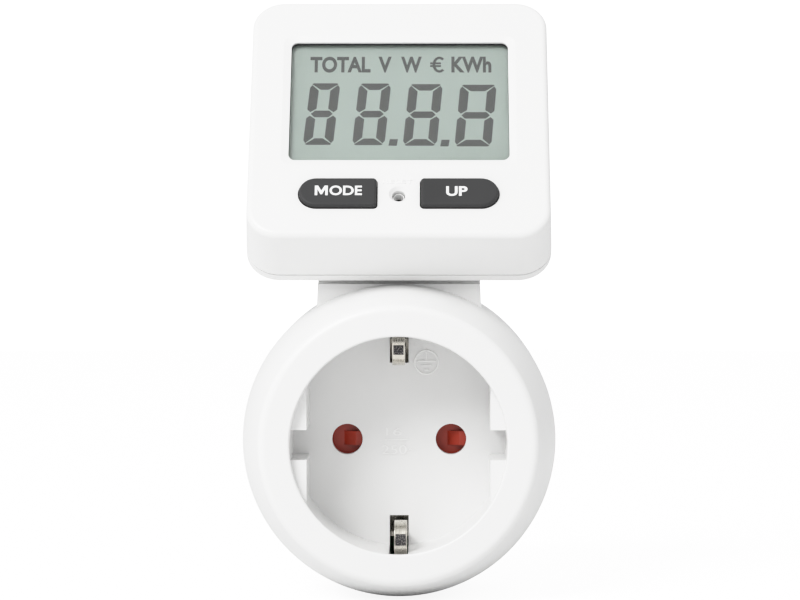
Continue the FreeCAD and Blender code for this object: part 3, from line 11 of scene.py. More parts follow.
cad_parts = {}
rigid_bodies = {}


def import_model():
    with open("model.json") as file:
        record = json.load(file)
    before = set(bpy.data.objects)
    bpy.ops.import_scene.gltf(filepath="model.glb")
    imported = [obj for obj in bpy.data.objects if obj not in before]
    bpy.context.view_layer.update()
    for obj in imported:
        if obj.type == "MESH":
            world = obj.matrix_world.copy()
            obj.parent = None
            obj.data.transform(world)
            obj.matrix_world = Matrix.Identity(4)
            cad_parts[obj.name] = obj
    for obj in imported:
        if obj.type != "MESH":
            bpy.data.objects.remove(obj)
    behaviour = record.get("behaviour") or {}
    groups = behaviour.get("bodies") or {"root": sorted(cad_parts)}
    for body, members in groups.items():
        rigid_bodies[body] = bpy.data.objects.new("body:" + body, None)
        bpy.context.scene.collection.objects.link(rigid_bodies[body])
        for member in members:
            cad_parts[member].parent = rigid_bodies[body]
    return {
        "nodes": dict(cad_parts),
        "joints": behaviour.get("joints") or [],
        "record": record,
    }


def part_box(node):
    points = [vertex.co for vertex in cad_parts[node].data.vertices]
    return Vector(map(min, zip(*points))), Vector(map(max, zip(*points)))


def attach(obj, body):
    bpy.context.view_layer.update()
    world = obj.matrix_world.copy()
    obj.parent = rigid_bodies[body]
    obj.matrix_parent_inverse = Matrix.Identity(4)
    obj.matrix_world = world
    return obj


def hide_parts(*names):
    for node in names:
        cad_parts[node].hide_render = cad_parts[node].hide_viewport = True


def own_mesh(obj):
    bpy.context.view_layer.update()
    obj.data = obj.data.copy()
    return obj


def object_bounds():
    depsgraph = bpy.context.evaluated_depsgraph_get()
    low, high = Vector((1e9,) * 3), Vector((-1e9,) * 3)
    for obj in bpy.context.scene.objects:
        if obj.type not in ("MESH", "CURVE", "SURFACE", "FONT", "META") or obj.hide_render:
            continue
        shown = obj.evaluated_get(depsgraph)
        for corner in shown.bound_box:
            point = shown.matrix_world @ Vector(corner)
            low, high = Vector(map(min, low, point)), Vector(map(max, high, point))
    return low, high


bl_info = {
    "name": "Plug-in power meter",
    "version": (1, 0, 0),
    "blender": (4, 5, 0),
    "location": "View3D > Sidebar > Power meter",
    "description": "Builds the finishes, display, legends and studio of a plug-in power meter",
    "category": "Object",
}

for leftover in list(bpy.data.objects):
    bpy.data.objects.remove(leftover)
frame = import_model()
CAD_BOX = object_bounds()

MM = 0.001
NODES = frame["nodes"]
JOINTS = {joint["name"]: joint for joint in frame["joints"]}
MOUNTS = {mount["name"]: mount for mount in frame["record"]["mounts"]}
SLOT_OF = {part["node"]: part["material_slot"] for part in frame["record"]["subparts"]}

ACROSS = Vector((1, 0, 0))
INWARD = Vector(JOINTS["mode_press"]["axis"]).normalized()
OUTWARD = -INWARD
UPWARD = OUTWARD.cross(ACROSS)
TO_VIEWER = Vector((0, -1, 0))
TO_TOP = Vector((0, 0, 1))


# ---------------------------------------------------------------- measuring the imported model

def reach(node, direction):
    """Lowest and highest distance of a node's points along a direction."""
    mesh = NODES[node].data
    points = np.zeros(len(mesh.vertices) * 3)
    mesh.vertices.foreach_get("co", points)
    along = points.reshape(-1, 3) @ np.array(direction)
    return along.min(), along.max()


def middle(node, direction):
    low, high = reach(node, direction)
    return (low + high) / 2


class Plane:
    """A flat face to draw on: u runs right, v runs up, w stands out of the face."""

    def __init__(self, right, up, out, u, v, w):
        self.right = right
        self.up = up
        self.out = out
        self.origin = right * u + up * v + out * w

    def matrix(self):
        turn = Matrix((self.right, self.up, self.out)).transposed().to_4x4()
        return Matrix.Translation(self.origin) @ turn


def recess_plane():
    """The floor of the socket recess, centred on the socket's axis."""
    hole = MOUNTS["socket_hole_left"]
    floor = -hole["pos_m"][1] + hole["dims"]["length_mm"] * MM / 2
    return Plane(ACROSS, TO_TOP, TO_VIEWER, 0, 0, floor)


# ---------------------------------------------------------------- meshes

def mesh_object(name, bm):
    mesh = bpy.data.meshes.new(name)
    bmesh.ops.recalc_face_normals(bm, faces=bm.faces)
    bm.to_mesh(mesh)
    bm.free()
    piece = bpy.data.objects.new(name, mesh)
    bpy.context.scene.collection.objects.link(piece)
    return piece


def add_prism(bm, outline, low, high, holes=()):
    """A closed slab of an outline, with any holes, between two heights."""
    edges = []
    for loop in (outline, *holes):
        corners = [bm.verts.new((u, v, low)) for u, v in loop]
        edges += [bm.edges.new((a, b)) for a, b in zip(corners, corners[1:] + corners[:1])]
    faces = bmesh.ops.triangle_fill(bm, use_beauty=True, use_dissolve=False, edges=edges)["geom"]
    faces = [item for item in faces if isinstance(item, bmesh.types.BMFace)]
    raised = bmesh.ops.extrude_face_region(bm, geom=faces)["geom"]
    verts = [item for item in raised if isinstance(item, bmesh.types.BMVert)]
    bmesh.ops.translate(bm, verts=verts, vec=(0, 0, high - low))


def add_turned(bm, profile, count=48):
    """A solid turned about the w axis from (radius, w) points that start and end on the axis."""
    rings = []
    for radius, w in profile:
        if radius < 1e-9:
            rings.append([bm.verts.new((0, 0, w))])
        else:
            rings.append([bm.verts.new((u, v, w)) for u, v in circle(0, 0, radius, count)])
    for first, second in zip(rings, rings[1:]):
        for a in range(count):
            b = (a + 1) % count
            corners = [first[a % len(first)], first[b % len(first)],
                       second[b % len(second)], second[a % len(second)]]
            bm.faces.new(list(dict.fromkeys(corners)))


def add_walls(bm, rings):
    """A closed tube through rings of equally many points, with both ends filled."""
    count = len(rings[0])
    for first, second in zip(rings, rings[1:]):
        for a in range(count):
            b = (a + 1) % count
            bm.faces.new((first[a], first[b], second[b], second[a]))
    bm.faces.new(rings[0])
    bm.faces.new(reversed(rings[-1]))


def circle(u, v, radius, count=64):
    turns = [2 * math.pi * step / count for step in range(count)]
    return [(u + radius * math.cos(turn), v + radius * math.sin(turn)) for turn in turns]


def bar(u0, v0, u1, v1):
    return [(u0, v0), (u1, v0), (u1, v1), (u0, v1)]


def rounded(u0, v0, u1, v1, radius, count=10):
    """A rectangle with round corners."""
    corners = [(u1 - radius, v1 - radius, 0), (u0 + radius, v1 - radius, 90),
               (u0 + radius, v0 + radius, 180), (u1 - radius, v0 + radius, 270)]
    outline = []
    for u, v, start in corners:
        for step in range(count + 1):
            turn = math.radians(start + 90 * step / count)
            outline.append((u + radius * math.cos(turn), v + radius * math.sin(turn)))
    return outline


def set_on(piece, plane):
    piece.data.transform(plane.matrix())
    return piece


def letter_m(u0, v0, u1, v1):
    """The outline of a bold M, from its left half on a unit square."""
    outside = [(0, 0), (0, 1), (0.25, 1), (0.5, 0.48)]
    inside = [(0.56, 0.1), (0.44, 0.1), (0.2, 0.62), (0.2, 0)]
    right = [(1 - x, y) for x, y in outside[-2::-1]] + [(0.8, 0), (0.8, 0.62)]
    return [(u0 + x * (u1 - u0), v0 + y * (v1 - v0)) for x, y in outside + right + inside]


def open_ring(u0, v0, u1, v1, line, gap=48, count=28):
    """The outline of a C, one line thick, open by the gap in degrees above and below its middle."""
    u, v = (u0 + u1) / 2, (v0 + v1) / 2
    across, rise = (u1 - u0) / 2, (v1 - v0) / 2
    turns = [math.radians(gap + (360 - 2 * gap) * step / count) for step in range(count + 1)]
    outer, inner = [[(u + a * math.cos(turn), v + b * math.sin(turn)) for turn in turns]
                    for a, b in ((across, rise), (across - line, rise - line))]
    return outer + inner[::-1]


def lettering(name, words, plane, low, high, weight, body, material, soften=0):
    """Raised or printed letters; each word is (text, left, bottom, right, top) on the plane."""
    bm = bmesh.new()
    for text, left, bottom, right, top in words:
        curve = bpy.data.curves.new(name, "FONT")
        curve.body = text
        curve.offset = weight
        curve.extrude = 0.5
        curve.resolution_u = 6
        holder = bpy.data.objects.new(name, curve)
        bpy.context.scene.collection.objects.link(holder)
        bpy.context.view_layer.update()
        shape = bpy.data.meshes.new_from_object(
            holder.evaluated_get(bpy.context.evaluated_depsgraph_get()))
        bpy.data.objects.remove(holder)
        bpy.data.curves.remove(curve)
        points = np.array([vert.co for vert in shape.vertices])
        least, most = points.min(0), points.max(0)
        size = Vector((right - left, top - bottom, high - low))
        span = Vector(most - least)
        scale = Matrix.Diagonal((size.x / span.x, size.y / span.y, size.z / span.z, 1))
        move = Matrix.Translation((left, bottom, low))
        shape.transform(move @ scale @ Matrix.Translation(-Vector(least)))
        bm.from_mesh(shape)
        bpy.data.meshes.remove(shape)
    bmesh.ops.remove_doubles(bm, verts=bm.verts, dist=1e-7)
    piece = set_on(mesh_object(name, bm), plane)
    if soften:
        soften_edges(piece, soften)
    return finish_piece(piece, body, material)


def soften_edges(piece, width, segments=2):
    bevel = piece.modifiers.new("soft edges", "BEVEL")
    bevel.width = width
    bevel.segments = segments
    bevel.limit_method = "ANGLE"
    bevel.angle_limit = math.radians(40)
    bevel.harden_normals = True


def shade_smooth(piece):
    piece.data.polygons.foreach_set("use_smooth", [True] * len(piece.data.polygons))


def finish_piece(piece, body, material):
    piece.data.materials.clear()
    piece.data.materials.append(material)
    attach(piece, body)
    return piece


# ---------------------------------------------------------------- shader groups

def new_group(name, inputs, outputs):
    """A shader group with named sockets; returns the tree and its two end nodes."""
    tree = bpy.data.node_groups.new(name, "ShaderNodeTree")
    for label, kind, default in inputs:
        socket = tree.interface.new_socket(label, in_out="INPUT", socket_type=kind)
        socket.default_value = default
    for label, kind in outputs:
        tree.interface.new_socket(label, in_out="OUTPUT", socket_type=kind)
    return tree, tree.nodes.new("NodeGroupInput"), tree.nodes.new("NodeGroupOutput")


def join(tree, *pairs):
    for start, end in pairs:
        tree.links.new(start, end)


def noise(tree, coords, scale, detail, stretch=(1, 1, 1)):
    """Noise in the object's own coordinates; scale is a socket or a number."""
    mapping = tree.nodes.new("ShaderNodeMapping")
    mapping.inputs["Scale"].default_value = stretch
    texture = tree.nodes.new("ShaderNodeTexNoise")
    texture.inputs["Detail"].default_value = detail
    join(tree, (coords, mapping.inputs["Vector"]), (mapping.outputs["Vector"], texture.inputs["Vector"]))
    if isinstance(scale, (int, float)):
        texture.inputs["Scale"].default_value = scale
    else:
        join(tree, (scale, texture.inputs["Scale"]))
    return texture.outputs["Fac"]


def spread(tree, value, low, high):
    """Maps a 0 to 1 value onto low to high, which are sockets or numbers."""
    node = tree.nodes.new("ShaderNodeMapRange")
    node.inputs["From Min"].default_value = 0.15
    node.inputs["From Max"].default_value = 0.85
    node.interpolation_type = "SMOOTHSTEP"
    for label, end in (("To Min", low), ("To Max", high)):
        if isinstance(end, (int, float)):
            node.inputs[label].default_value = end
        else:
            join(tree, (end, node.inputs[label]))
    join(tree, (value, node.inputs["Value"]))
    return node.outputs["Result"]


def moulded_group():
    """Moulded plastic: spark-eroded grain, faint flow mottling and handling marks."""
    tree, given, result = new_group(
        "moulded plastic",
        [("Tint", "NodeSocketColor", (0.8, 0.8, 0.8, 1)),
         ("Mottle", "NodeSocketColor", (0.78, 0.78, 0.78, 1)),
         ("Grain Scale", "NodeSocketFloat", 4000),
         ("Smooth", "NodeSocketFloat", 0.3),
         ("Rough", "NodeSocketFloat", 0.4)],
        [("Colour", "NodeSocketColor"), ("Roughness", "NodeSocketFloat"), ("Grain", "NodeSocketFloat")])
    coords = tree.nodes.new("ShaderNodeTexCoord").outputs["Object"]
    flow = noise(tree, coords, 90, 3)
    grain = noise(tree, coords, given.outputs["Grain Scale"], 2)
    handled = noise(tree, coords, 260, 5, (1, 1, 0.5))
    mix = tree.nodes.new("ShaderNodeMix")
    mix.data_type = "RGBA"
    join(tree, (spread(tree, flow, 0.0, 1.0), mix.inputs["Factor"]),
         (given.outputs["Tint"], mix.inputs["A"]), (given.outputs["Mottle"], mix.inputs["B"]),
         (mix.outputs["Result"], result.inputs["Colour"]),
         (spread(tree, handled, given.outputs["Smooth"], given.outputs["Rough"]),
          result.inputs["Roughness"]),
         (grain, result.inputs["Grain"]))
    return tree


def rolled_group():
    """Rolled or plated metal: drawn lines one way, tarnish in patches."""
    tree, given, result = new_group(
        "rolled metal",
        [("Bright", "NodeSocketColor", (0.8, 0.8, 0.8, 1)),
         ("Tarnish", "NodeSocketColor", (0.6, 0.6, 0.6, 1)),
         ("Lines", "NodeSocketVector", (1, 0.05, 1)),
         ("Line Scale", "NodeSocketFloat", 6000),
         ("Smooth", "NodeSocketFloat", 0.15),
         ("Rough", "NodeSocketFloat", 0.35)],
        [("Colour", "NodeSocketColor"), ("Roughness", "NodeSocketFloat"), ("Grain", "NodeSocketFloat")])
    coords = tree.nodes.new("ShaderNodeTexCoord").outputs["Object"]
    along = tree.nodes.new("ShaderNodeVectorMath")
    along.operation = "MULTIPLY"
    join(tree, (coords, along.inputs[0]), (given.outputs["Lines"], along.inputs[1]))
    lines = noise(tree, along.outputs["Vector"], given.outputs["Line Scale"], 3)
    patches = noise(tree, coords, 240, 4)
    mix = tree.nodes.new("ShaderNodeMix")
    mix.data_type = "RGBA"
    join(tree, (spread(tree, patches, 0.0, 1.0), mix.inputs["Factor"]),
         (given.outputs["Bright"], mix.inputs["A"]), (given.outputs["Tarnish"], mix.inputs["B"]),
         (mix.outputs["Result"], result.inputs["Colour"]),
         (spread(tree, lines, given.outputs["Smooth"], given.outputs["Rough"]),
          result.inputs["Roughness"]),
         (lines, result.inputs["Grain"]))
    return tree


def speckle_group():
    """Filler specks in epoxy, solder mask and rubber."""
    tree, given, result = new_group(
        "specks",
        [("Base", "NodeSocketColor", (0.1, 0.1, 0.1, 1)),
         ("Speck", "NodeSocketColor", (0.3, 0.3, 0.3, 1)),
         ("Speck Scale", "NodeSocketFloat", 3000),
         ("Amount", "NodeSocketFloat", 0.5)],
        [("Colour", "NodeSocketColor"), ("Grain", "NodeSocketFloat")])
    coords = tree.nodes.new("ShaderNodeTexCoord").outputs["Object"]
    cells = tree.nodes.new("ShaderNodeTexVoronoi")
    below = tree.nodes.new("ShaderNodeMath")
    below.operation = "LESS_THAN"
    amount = tree.nodes.new("ShaderNodeMath")
    amount.operation = "MULTIPLY"
    mix = tree.nodes.new("ShaderNodeMix")
    mix.data_type = "RGBA"
    below.inputs[1].default_value = 0.32
    join(tree, (coords, cells.inputs["Vector"]), (given.outputs["Speck Scale"], cells.inputs["Scale"]),
         (cells.outputs["Distance"], below.inputs[0]), (below.outputs[0], amount.inputs[0]),
         (given.outputs["Amount"], amount.inputs[1]), (amount.outputs[0], mix.inputs["Factor"]),
         (given.outputs["Base"], mix.inputs["A"]), (given.outputs["Speck"], mix.inputs["B"]),
         (mix.outputs["Result"], result.inputs["Colour"]),
         (cells.outputs["Distance"], result.inputs["Grain"]))
    return tree


def rgba(colour):
    return (colour[0], colour[1], colour[2], 1.0)


def darker(colour, share):
    return tuple(channel * share for channel in colour)


def material_with(name, group, values, bump, **sockets):
    """A material whose colour, roughness and bump come from a group; sockets are constants."""
    found = bpy.data.materials.get(name)
    if found:
        return found
    material = bpy.data.materials.new(name)
    material.use_nodes = True
    tree = material.node_tree
    shader = tree.nodes["Principled BSDF"]
    box = tree.nodes.new("ShaderNodeGroup")
    box.node_tree = group
    for label, value in values.items():
        box.inputs[label].default_value = value
    join(tree, (box.outputs["Colour"], shader.inputs["Base Color"]))
    if "Roughness" in box.outputs:
        join(tree, (box.outputs["Roughness"], shader.inputs["Roughness"]))
    relief = tree.nodes.new("ShaderNodeBump")
    relief.inputs["Strength"].default_value = bump
    relief.inputs["Distance"].default_value = 0.02 * MM
    join(tree, (box.outputs["Grain"], relief.inputs["Height"]),
         (relief.outputs["Normal"], shader.inputs["Normal"]))
    for label, value in sockets.items():
        shader.inputs[label.replace("_", " ")].default_value = value
    return material


def shared_group(name, build):
    return bpy.data.node_groups.get(name) or build()


def plastic(name, colour, smooth, rough, bump=0.25, grain=4200, mottle=0.97, **sockets):
    group = shared_group("moulded plastic", moulded_group)
    values = {"Tint": rgba(colour), "Mottle": rgba(darker(colour, mottle)), "Grain Scale": grain,
              "Smooth": smooth, "Rough": rough}
    return material_with(name, group, values, bump, **sockets)


def metal(name, colour, smooth, rough, lines=(1, 1, 0.04), bump=0.15, tarnish=0.82):
    group = shared_group("rolled metal", rolled_group)
    values = {"Bright": rgba(colour), "Tarnish": rgba(darker(colour, tarnish)), "Lines": lines,
              "Smooth": smooth, "Rough": rough}
    return material_with(name, group, values, bump, Metallic=1.0)


def specked(name, colour, speck, roughness, scale=3000, amount=0.5, bump=0.2, **sockets):
    group = shared_group("specks", speckle_group)
    values = {"Base": rgba(colour), "Speck": rgba(speck), "Speck Scale": scale, "Amount": amount}
    return material_with(name, group, values, bump, Roughness=roughness, **sockets)


def finish_for(slot):
    """The material of each slot of the record."""
    look = bpy.context.scene.meter_finish
    makers = {
        "case_white": lambda: plastic("case white", look.case, 0.29, 0.34, 0.12, mottle=0.99),
        "button_grey": lambda: plastic("button grey", look.button, 0.42, 0.56, 0.5, 5200, 0.85,
                                       Specular_IOR_Level=0.25),
        "frame_black": lambda: plastic("frame black", (0.012, 0.012, 0.013), 0.4, 0.6),
        "inner_plastic": lambda: plastic("carrier plastic", (0.62, 0.58, 0.48), 0.35, 0.5),
        "shutter_red": lambda: plastic("shutter red", look.shutter, 0.28, 0.42, 0.3, mottle=0.85),
        "nickel_pin": lambda: metal("nickel pin", (0.78, 0.76, 0.71), 0.12, 0.26, (1, 1, 0.05)),
        "nickel_strip": lambda: metal("nickel strip", (0.74, 0.71, 0.64), 0.16, 0.34, (1, 0.06, 0.06)),
        "screw_steel": lambda: metal("screw steel", (0.5, 0.5, 0.52), 0.2, 0.4, (1, 0.2, 1)),
        "spring_steel": lambda: metal("spring steel", (0.55, 0.55, 0.57), 0.18, 0.36),
        "brass": lambda: metal("contact brass", (0.83, 0.61, 0.25), 0.2, 0.42),
        "copper": lambda: metal("busbar copper", (0.85, 0.42, 0.26), 0.2, 0.42),
        "shunt_alloy": lambda: metal("shunt alloy", (0.6, 0.5, 0.4), 0.3, 0.5),
        "lcd_reflector": lambda: metal("display reflector", (0.7, 0.73, 0.7), 0.3, 0.45),
        "contact_rubber": lambda: specked("contact rubber", (0.05, 0.05, 0.05), (0.3, 0.3, 0.3), 0.7),
        "board_green": lambda: specked("board green", (0.01, 0.11, 0.035), (0.02, 0.2, 0.07), 0.38,
                                       900, 0.6),
        "component_black": lambda: specked("moulded epoxy", (0.014, 0.014, 0.015), (0.05, 0.05, 0.05),
                                           0.55),
        "capacitor_yellow": lambda: plastic("capacitor yellow", (0.7, 0.46, 0.05), 0.25, 0.4),
        "varistor_blue": lambda: specked("varistor lacquer", (0.03, 0.12, 0.4), (0.06, 0.2, 0.55), 0.3),
        "resistor_grey": lambda: specked("resistor lacquer", (0.2, 0.24, 0.22), (0.34, 0.38, 0.36), 0.5),
        "ribbon_grey": lambda: plastic("ribbon grey", (0.4, 0.4, 0.42), 0.35, 0.5),
    }
    return makers[slot]()


def highlighted_relief():
    """Raised marks, which a mould leaves smoother than the grained face round them, in a lighter white
    that paints their highlight.
    """
    # A lighter copy of the case white: painted highlight on the raised marks.
    return plastic("relief with painted highlight", (0.95, 0.95, 0.945), 0.1, 0.16, 0.05)


def display_face_material():
    """Reflective display glass: polariser tint, fine sparkle of the reflector behind it."""
    look = bpy.context.scene.meter_finish
    return specked("display glass", look.display, darker(look.display, 0.93), 0.32, 7000, 0.35, 0.05,
                   Coat_Weight=0.25, Coat_Roughness=0.08)


def window_material():
    """Clear acrylic with faint ripple from moulding."""
    material = bpy.data.materials.new("window acrylic")
    material.use_nodes = True
    tree = material.node_tree
    shader = tree.nodes["Principled BSDF"]
    coords = tree.nodes.new("ShaderNodeTexCoord").outputs["Object"]
    ripple = tree.nodes.new("ShaderNodeBump")
    ripple.inputs["Strength"].default_value = 0.02
    ripple.inputs["Distance"].default_value = 0.02 * MM
    join(tree, (spread(tree, noise(tree, coords, 900, 4), 0.015, 0.05), shader.inputs["Roughness"]),
         (noise(tree, coords, 120, 2), ripple.inputs["Height"]),
         (ripple.outputs["Normal"], shader.inputs["Normal"]))
    shader.inputs["Base Color"].default_value = (0.97, 0.985, 0.975, 1)
    shader.inputs["Transmission Weight"].default_value = 1.0
    shader.inputs["IOR"].default_value = 1.49
    return material


# ---------------------------------------------------------------- settings

class MeterFinish(bpy.types.PropertyGroup):
    case: FloatVectorProperty(name="Case", description="White of the moulded shells", size=3,
                              subtype="COLOR", default=(0.84, 0.84, 0.835), min=0, max=1)
    button: FloatVectorProperty(name="Buttons", description="Grey of the two key caps", size=3,
                                subtype="COLOR", default=(0.045, 0.045, 0.046), min=0, max=1)
    display: FloatVectorProperty(name="Display", description="Grey-green of the display glass", size=3,
                                 subtype="COLOR", default=(0.56, 0.635, 0.595), min=0, max=1)
    ink: FloatVectorProperty(name="Display marks", description="Colour of the switched-on marks", size=3,
                             subtype="COLOR", default=(0.11, 0.11, 0.11), min=0, max=1)
    shutter: FloatVectorProperty(name="Shutter", description="Red of the socket shutter", size=3,
                                 subtype="COLOR", default=(0.5, 0.045, 0.02), min=0, max=1)


class MeterDisplay(bpy.types.PropertyGroup):
    digit_height: FloatProperty(name="Digit height", description="Height of the digits",
                                default=14.5 * MM, unit="LENGTH")
    segment: FloatProperty(name="Segment width", description="Width of a digit's bars",
                           default=1.5 * MM, unit="LENGTH")
    slant: FloatProperty(name="Slant", description="Lean of the digits to the right",
                         default=math.radians(4.5), subtype="ANGLE")


class MeterView(bpy.types.PropertyGroup):
    lens: FloatProperty(name="Lens", description="Focal length of the camera, in millimetres",
                        default=161.6, min=1)
    distance: FloatProperty(name="Distance", description="From the socket's front rim to the camera",
                            default=0.640, unit="LENGTH")
    height: FloatProperty(name="Height", description="Camera height above the socket's axis",
                          default=47.9 * MM, unit="LENGTH")
    side: FloatProperty(name="Sideways", description="Camera to the right of the socket's axis",
                        default=6.0 * MM, unit="LENGTH")
    pitch: FloatProperty(name="Pitch", description="Camera tilt below level",
                         default=math.radians(1.95), subtype="ANGLE")
    yaw: FloatProperty(name="Yaw", description="Camera turn to the left",
                       default=math.radians(0.51), subtype="ANGLE")
    key_light: FloatProperty(name="Key light", description="Power of the large upper light",
                             default=9.4, unit="POWER")
    fill: FloatProperty(name="Surround", description="Brightness of the white surround",
                        default=0.75)


# ---------------------------------------------------------------- pieces

def digit_bars(width, height, bar_width):
    """The seven bars of an upright digit whose lower left corner is at (0, 0)."""
    w, h, t = width, height, bar_width
    half = h / 2
    column = 1.12 * t
    tip, chamfer, inner = 0.42 * MM, 1.05 * MM, 1.25 * MM
    end, corner, slope, gap = 0.35 * MM, 0.6 * MM, 0.34 * MM, 0.25 * MM
    point, shoulder = 0.76 * MM, 1.43 * MM
    top = [(end, h - 0.2 * MM), (corner, h), (w - corner, h), (w - end, h - 0.2 * MM),
           (w - column - slope, h - t), (column + slope, h - t)]
    left = [(0, h - chamfer), (0.4 * MM, h - tip), (column, h - t - gap), (column, half + inner),
            (corner, half + tip), (0, half + chamfer)]
    centre = [(point, half), (shoulder, half + t / 2), (w - shoulder, half + t / 2),
              (w - point, half), (w - shoulder, half - t / 2), (shoulder, half - t / 2)]
    upper = [top, left, [(w - x, y) for x, y in left]]
    lower = [[(x, h - y) for x, y in shape] for shape in upper]
    return [*upper, centre, *lower]


WINDOW_LAP = 1.0 * MM
WINDOW_CORNER = 1.3 * MM
PRINT_SINK, PRINT_RISE = -0.01 * MM, 0.04 * MM
# Left, right and foot of each digit, and left and foot of each point, in millimetres.
DIGITS = [(-17.6, -10.95, 22.4), (-8.6, -1.55, 22.35), (0.65, 8.0, 22.2), (10.1, 17.95, 22.05)]
POINTS = [(-1.95, 22.2), (7.5, 22.05)]
# Left and right of each word, then the foot and top of their row, in millimetres.
WORDS = [("TOTAL", -16.6, -5.4), ("V", -3.95, -1.5), ("W", 0.25, 4.1), ("KWh", 9.6, 17.0)]
WORD_FOOT, WORD_TOP = 39.5 * MM, 43.3 * MM
WORD_WEIGHT = 0.034
EURO_LEFT, EURO_RIGHT = 5.65 * MM, 8.65 * MM
EURO_STROKE, EURO_BAR = 0.52 * MM, 0.42 * MM


class METER_OT_display(bpy.types.Operator):
    """Build the display: glass, digits, unit row, window and the black lining of its opening that paints
    the shade there
    """
    bl_idname = "meter.display"
    bl_label = "Display"

    def execute(self, context):
        look = context.scene.meter_finish
        size = context.scene.meter_display
        plane = head_plane("lcd_panel")
        ink = specked("display ink", look.ink, darker(look.ink, 1.15), 0.5, 5000, 0.4, 0.05)
        bm = bmesh.new()
        lean = math.tan(size.slant)
        for left, right, foot in DIGITS:
            width = (right - left) * MM - lean * size.digit_height
            for shape in digit_bars(width, size.digit_height, size.segment):
                outline = [(left * MM + x + lean * y, foot * MM + y) for x, y in shape]
                add_prism(bm, outline, PRINT_SINK, PRINT_RISE)
        for left, foot in POINTS:
            outline = [(left * MM + x + 2 * lean * y, foot * MM + y)
                       for x, y in bar(0, 0, size.segment, size.segment)]
            add_prism(bm, outline, PRINT_SINK, PRINT_RISE)
        digits = set_on(mesh_object("lcd_digits", bm), plane)
        finish_piece(digits, "head", ink)
        finish_piece(self.euro_sign(plane), "head", ink)
        rows = [(text, left * MM, WORD_FOOT, right * MM, WORD_TOP) for text, left, right in WORDS]
        lettering("lcd_unit_row", rows, plane, PRINT_SINK, PRINT_RISE, WORD_WEIGHT, "head",
                  ink)
        # Painted shade round the display opening.
        self.paint_opening_shade()
        NODES["lcd_panel"].data.materials[0] = display_face_material()
        NODES["display_window"].data.materials[0] = window_material()
        return {"FINISHED"}

    @staticmethod
    def euro_sign(plane):
        """An open ring crossed by two bars."""
        middle_height = (WORD_FOOT + WORD_TOP) / 2
        bm = bmesh.new()
        add_prism(bm, open_ring(EURO_LEFT + 0.45 * MM, WORD_FOOT, EURO_RIGHT, WORD_TOP, EURO_STROKE),
                  PRINT_SINK, PRINT_RISE)
        for foot in (middle_height + 0.1 * MM, middle_height - 0.55 * MM):
            add_prism(bm, bar(EURO_LEFT, foot, EURO_RIGHT - 1.0 * MM, foot + EURO_BAR),
                      PRINT_SINK, PRINT_RISE + 0.005 * MM)
        return set_on(mesh_object("lcd_euro_sign", bm), plane)

    @staticmethod
    def paint_opening_shade():
        """A black lining of the opening in front of the window: painted shade on the opening's walls."""
        left, bottom, right, top = opening()
        inset = 0.05 * MM
        bm = bmesh.new()
        add_prism(bm, rounded(left, bottom, right, top, WINDOW_CORNER), 0, 0.42 * MM,
                  [rounded(left + inset, bottom + inset, right - inset, top - inset, WINDOW_CORNER)])
        opening_shade_lining = set_on(mesh_object("display_opening_painted_shade", bm), head_plane("display_window"))
        finish_piece(opening_shade_lining, "head", finish_for("frame_black"))


def opening():
    """Left, bottom, right and top of the display opening, on the head's plane."""
    foot = reach("head_front_shell", UPWARD)[0]
    left, right = reach("display_window", ACROSS)
    low, high = reach("display_window", UPWARD)
    return (left + WINDOW_LAP, low - foot + WINDOW_LAP, right - WINDOW_LAP, high - foot - WINDOW_LAP)


def head_plane(node):
    """The head's own drawing plane at the front of one of its pieces: v runs up from the face's foot."""
    foot = reach("head_front_shell", UPWARD)[0]
    return Plane(ACROSS, UPWARD, OUTWARD, 0, foot, reach(node, OUTWARD)[1])


LEGEND_FOOT, LEGEND_TOP = 8.75 * MM, 10.95 * MM
INITIAL_LEFT, INITIAL_RIGHT = -15.1 * MM, -12.75 * MM
MODE_REST = ("ODE", -12.45 * MM, LEGEND_FOOT, -6.6 * MM, LEGEND_TOP)
UP_WORD = ("UP", 8.55 * MM, 8.6 * MM, 12.4 * MM, 10.8 * MM)
RESET_WORD = ("RESET", -2.9 * MM, 12.1 * MM, 2.6 * MM, 13.0 * MM)
INK_DEPTH = 0.02 * MM


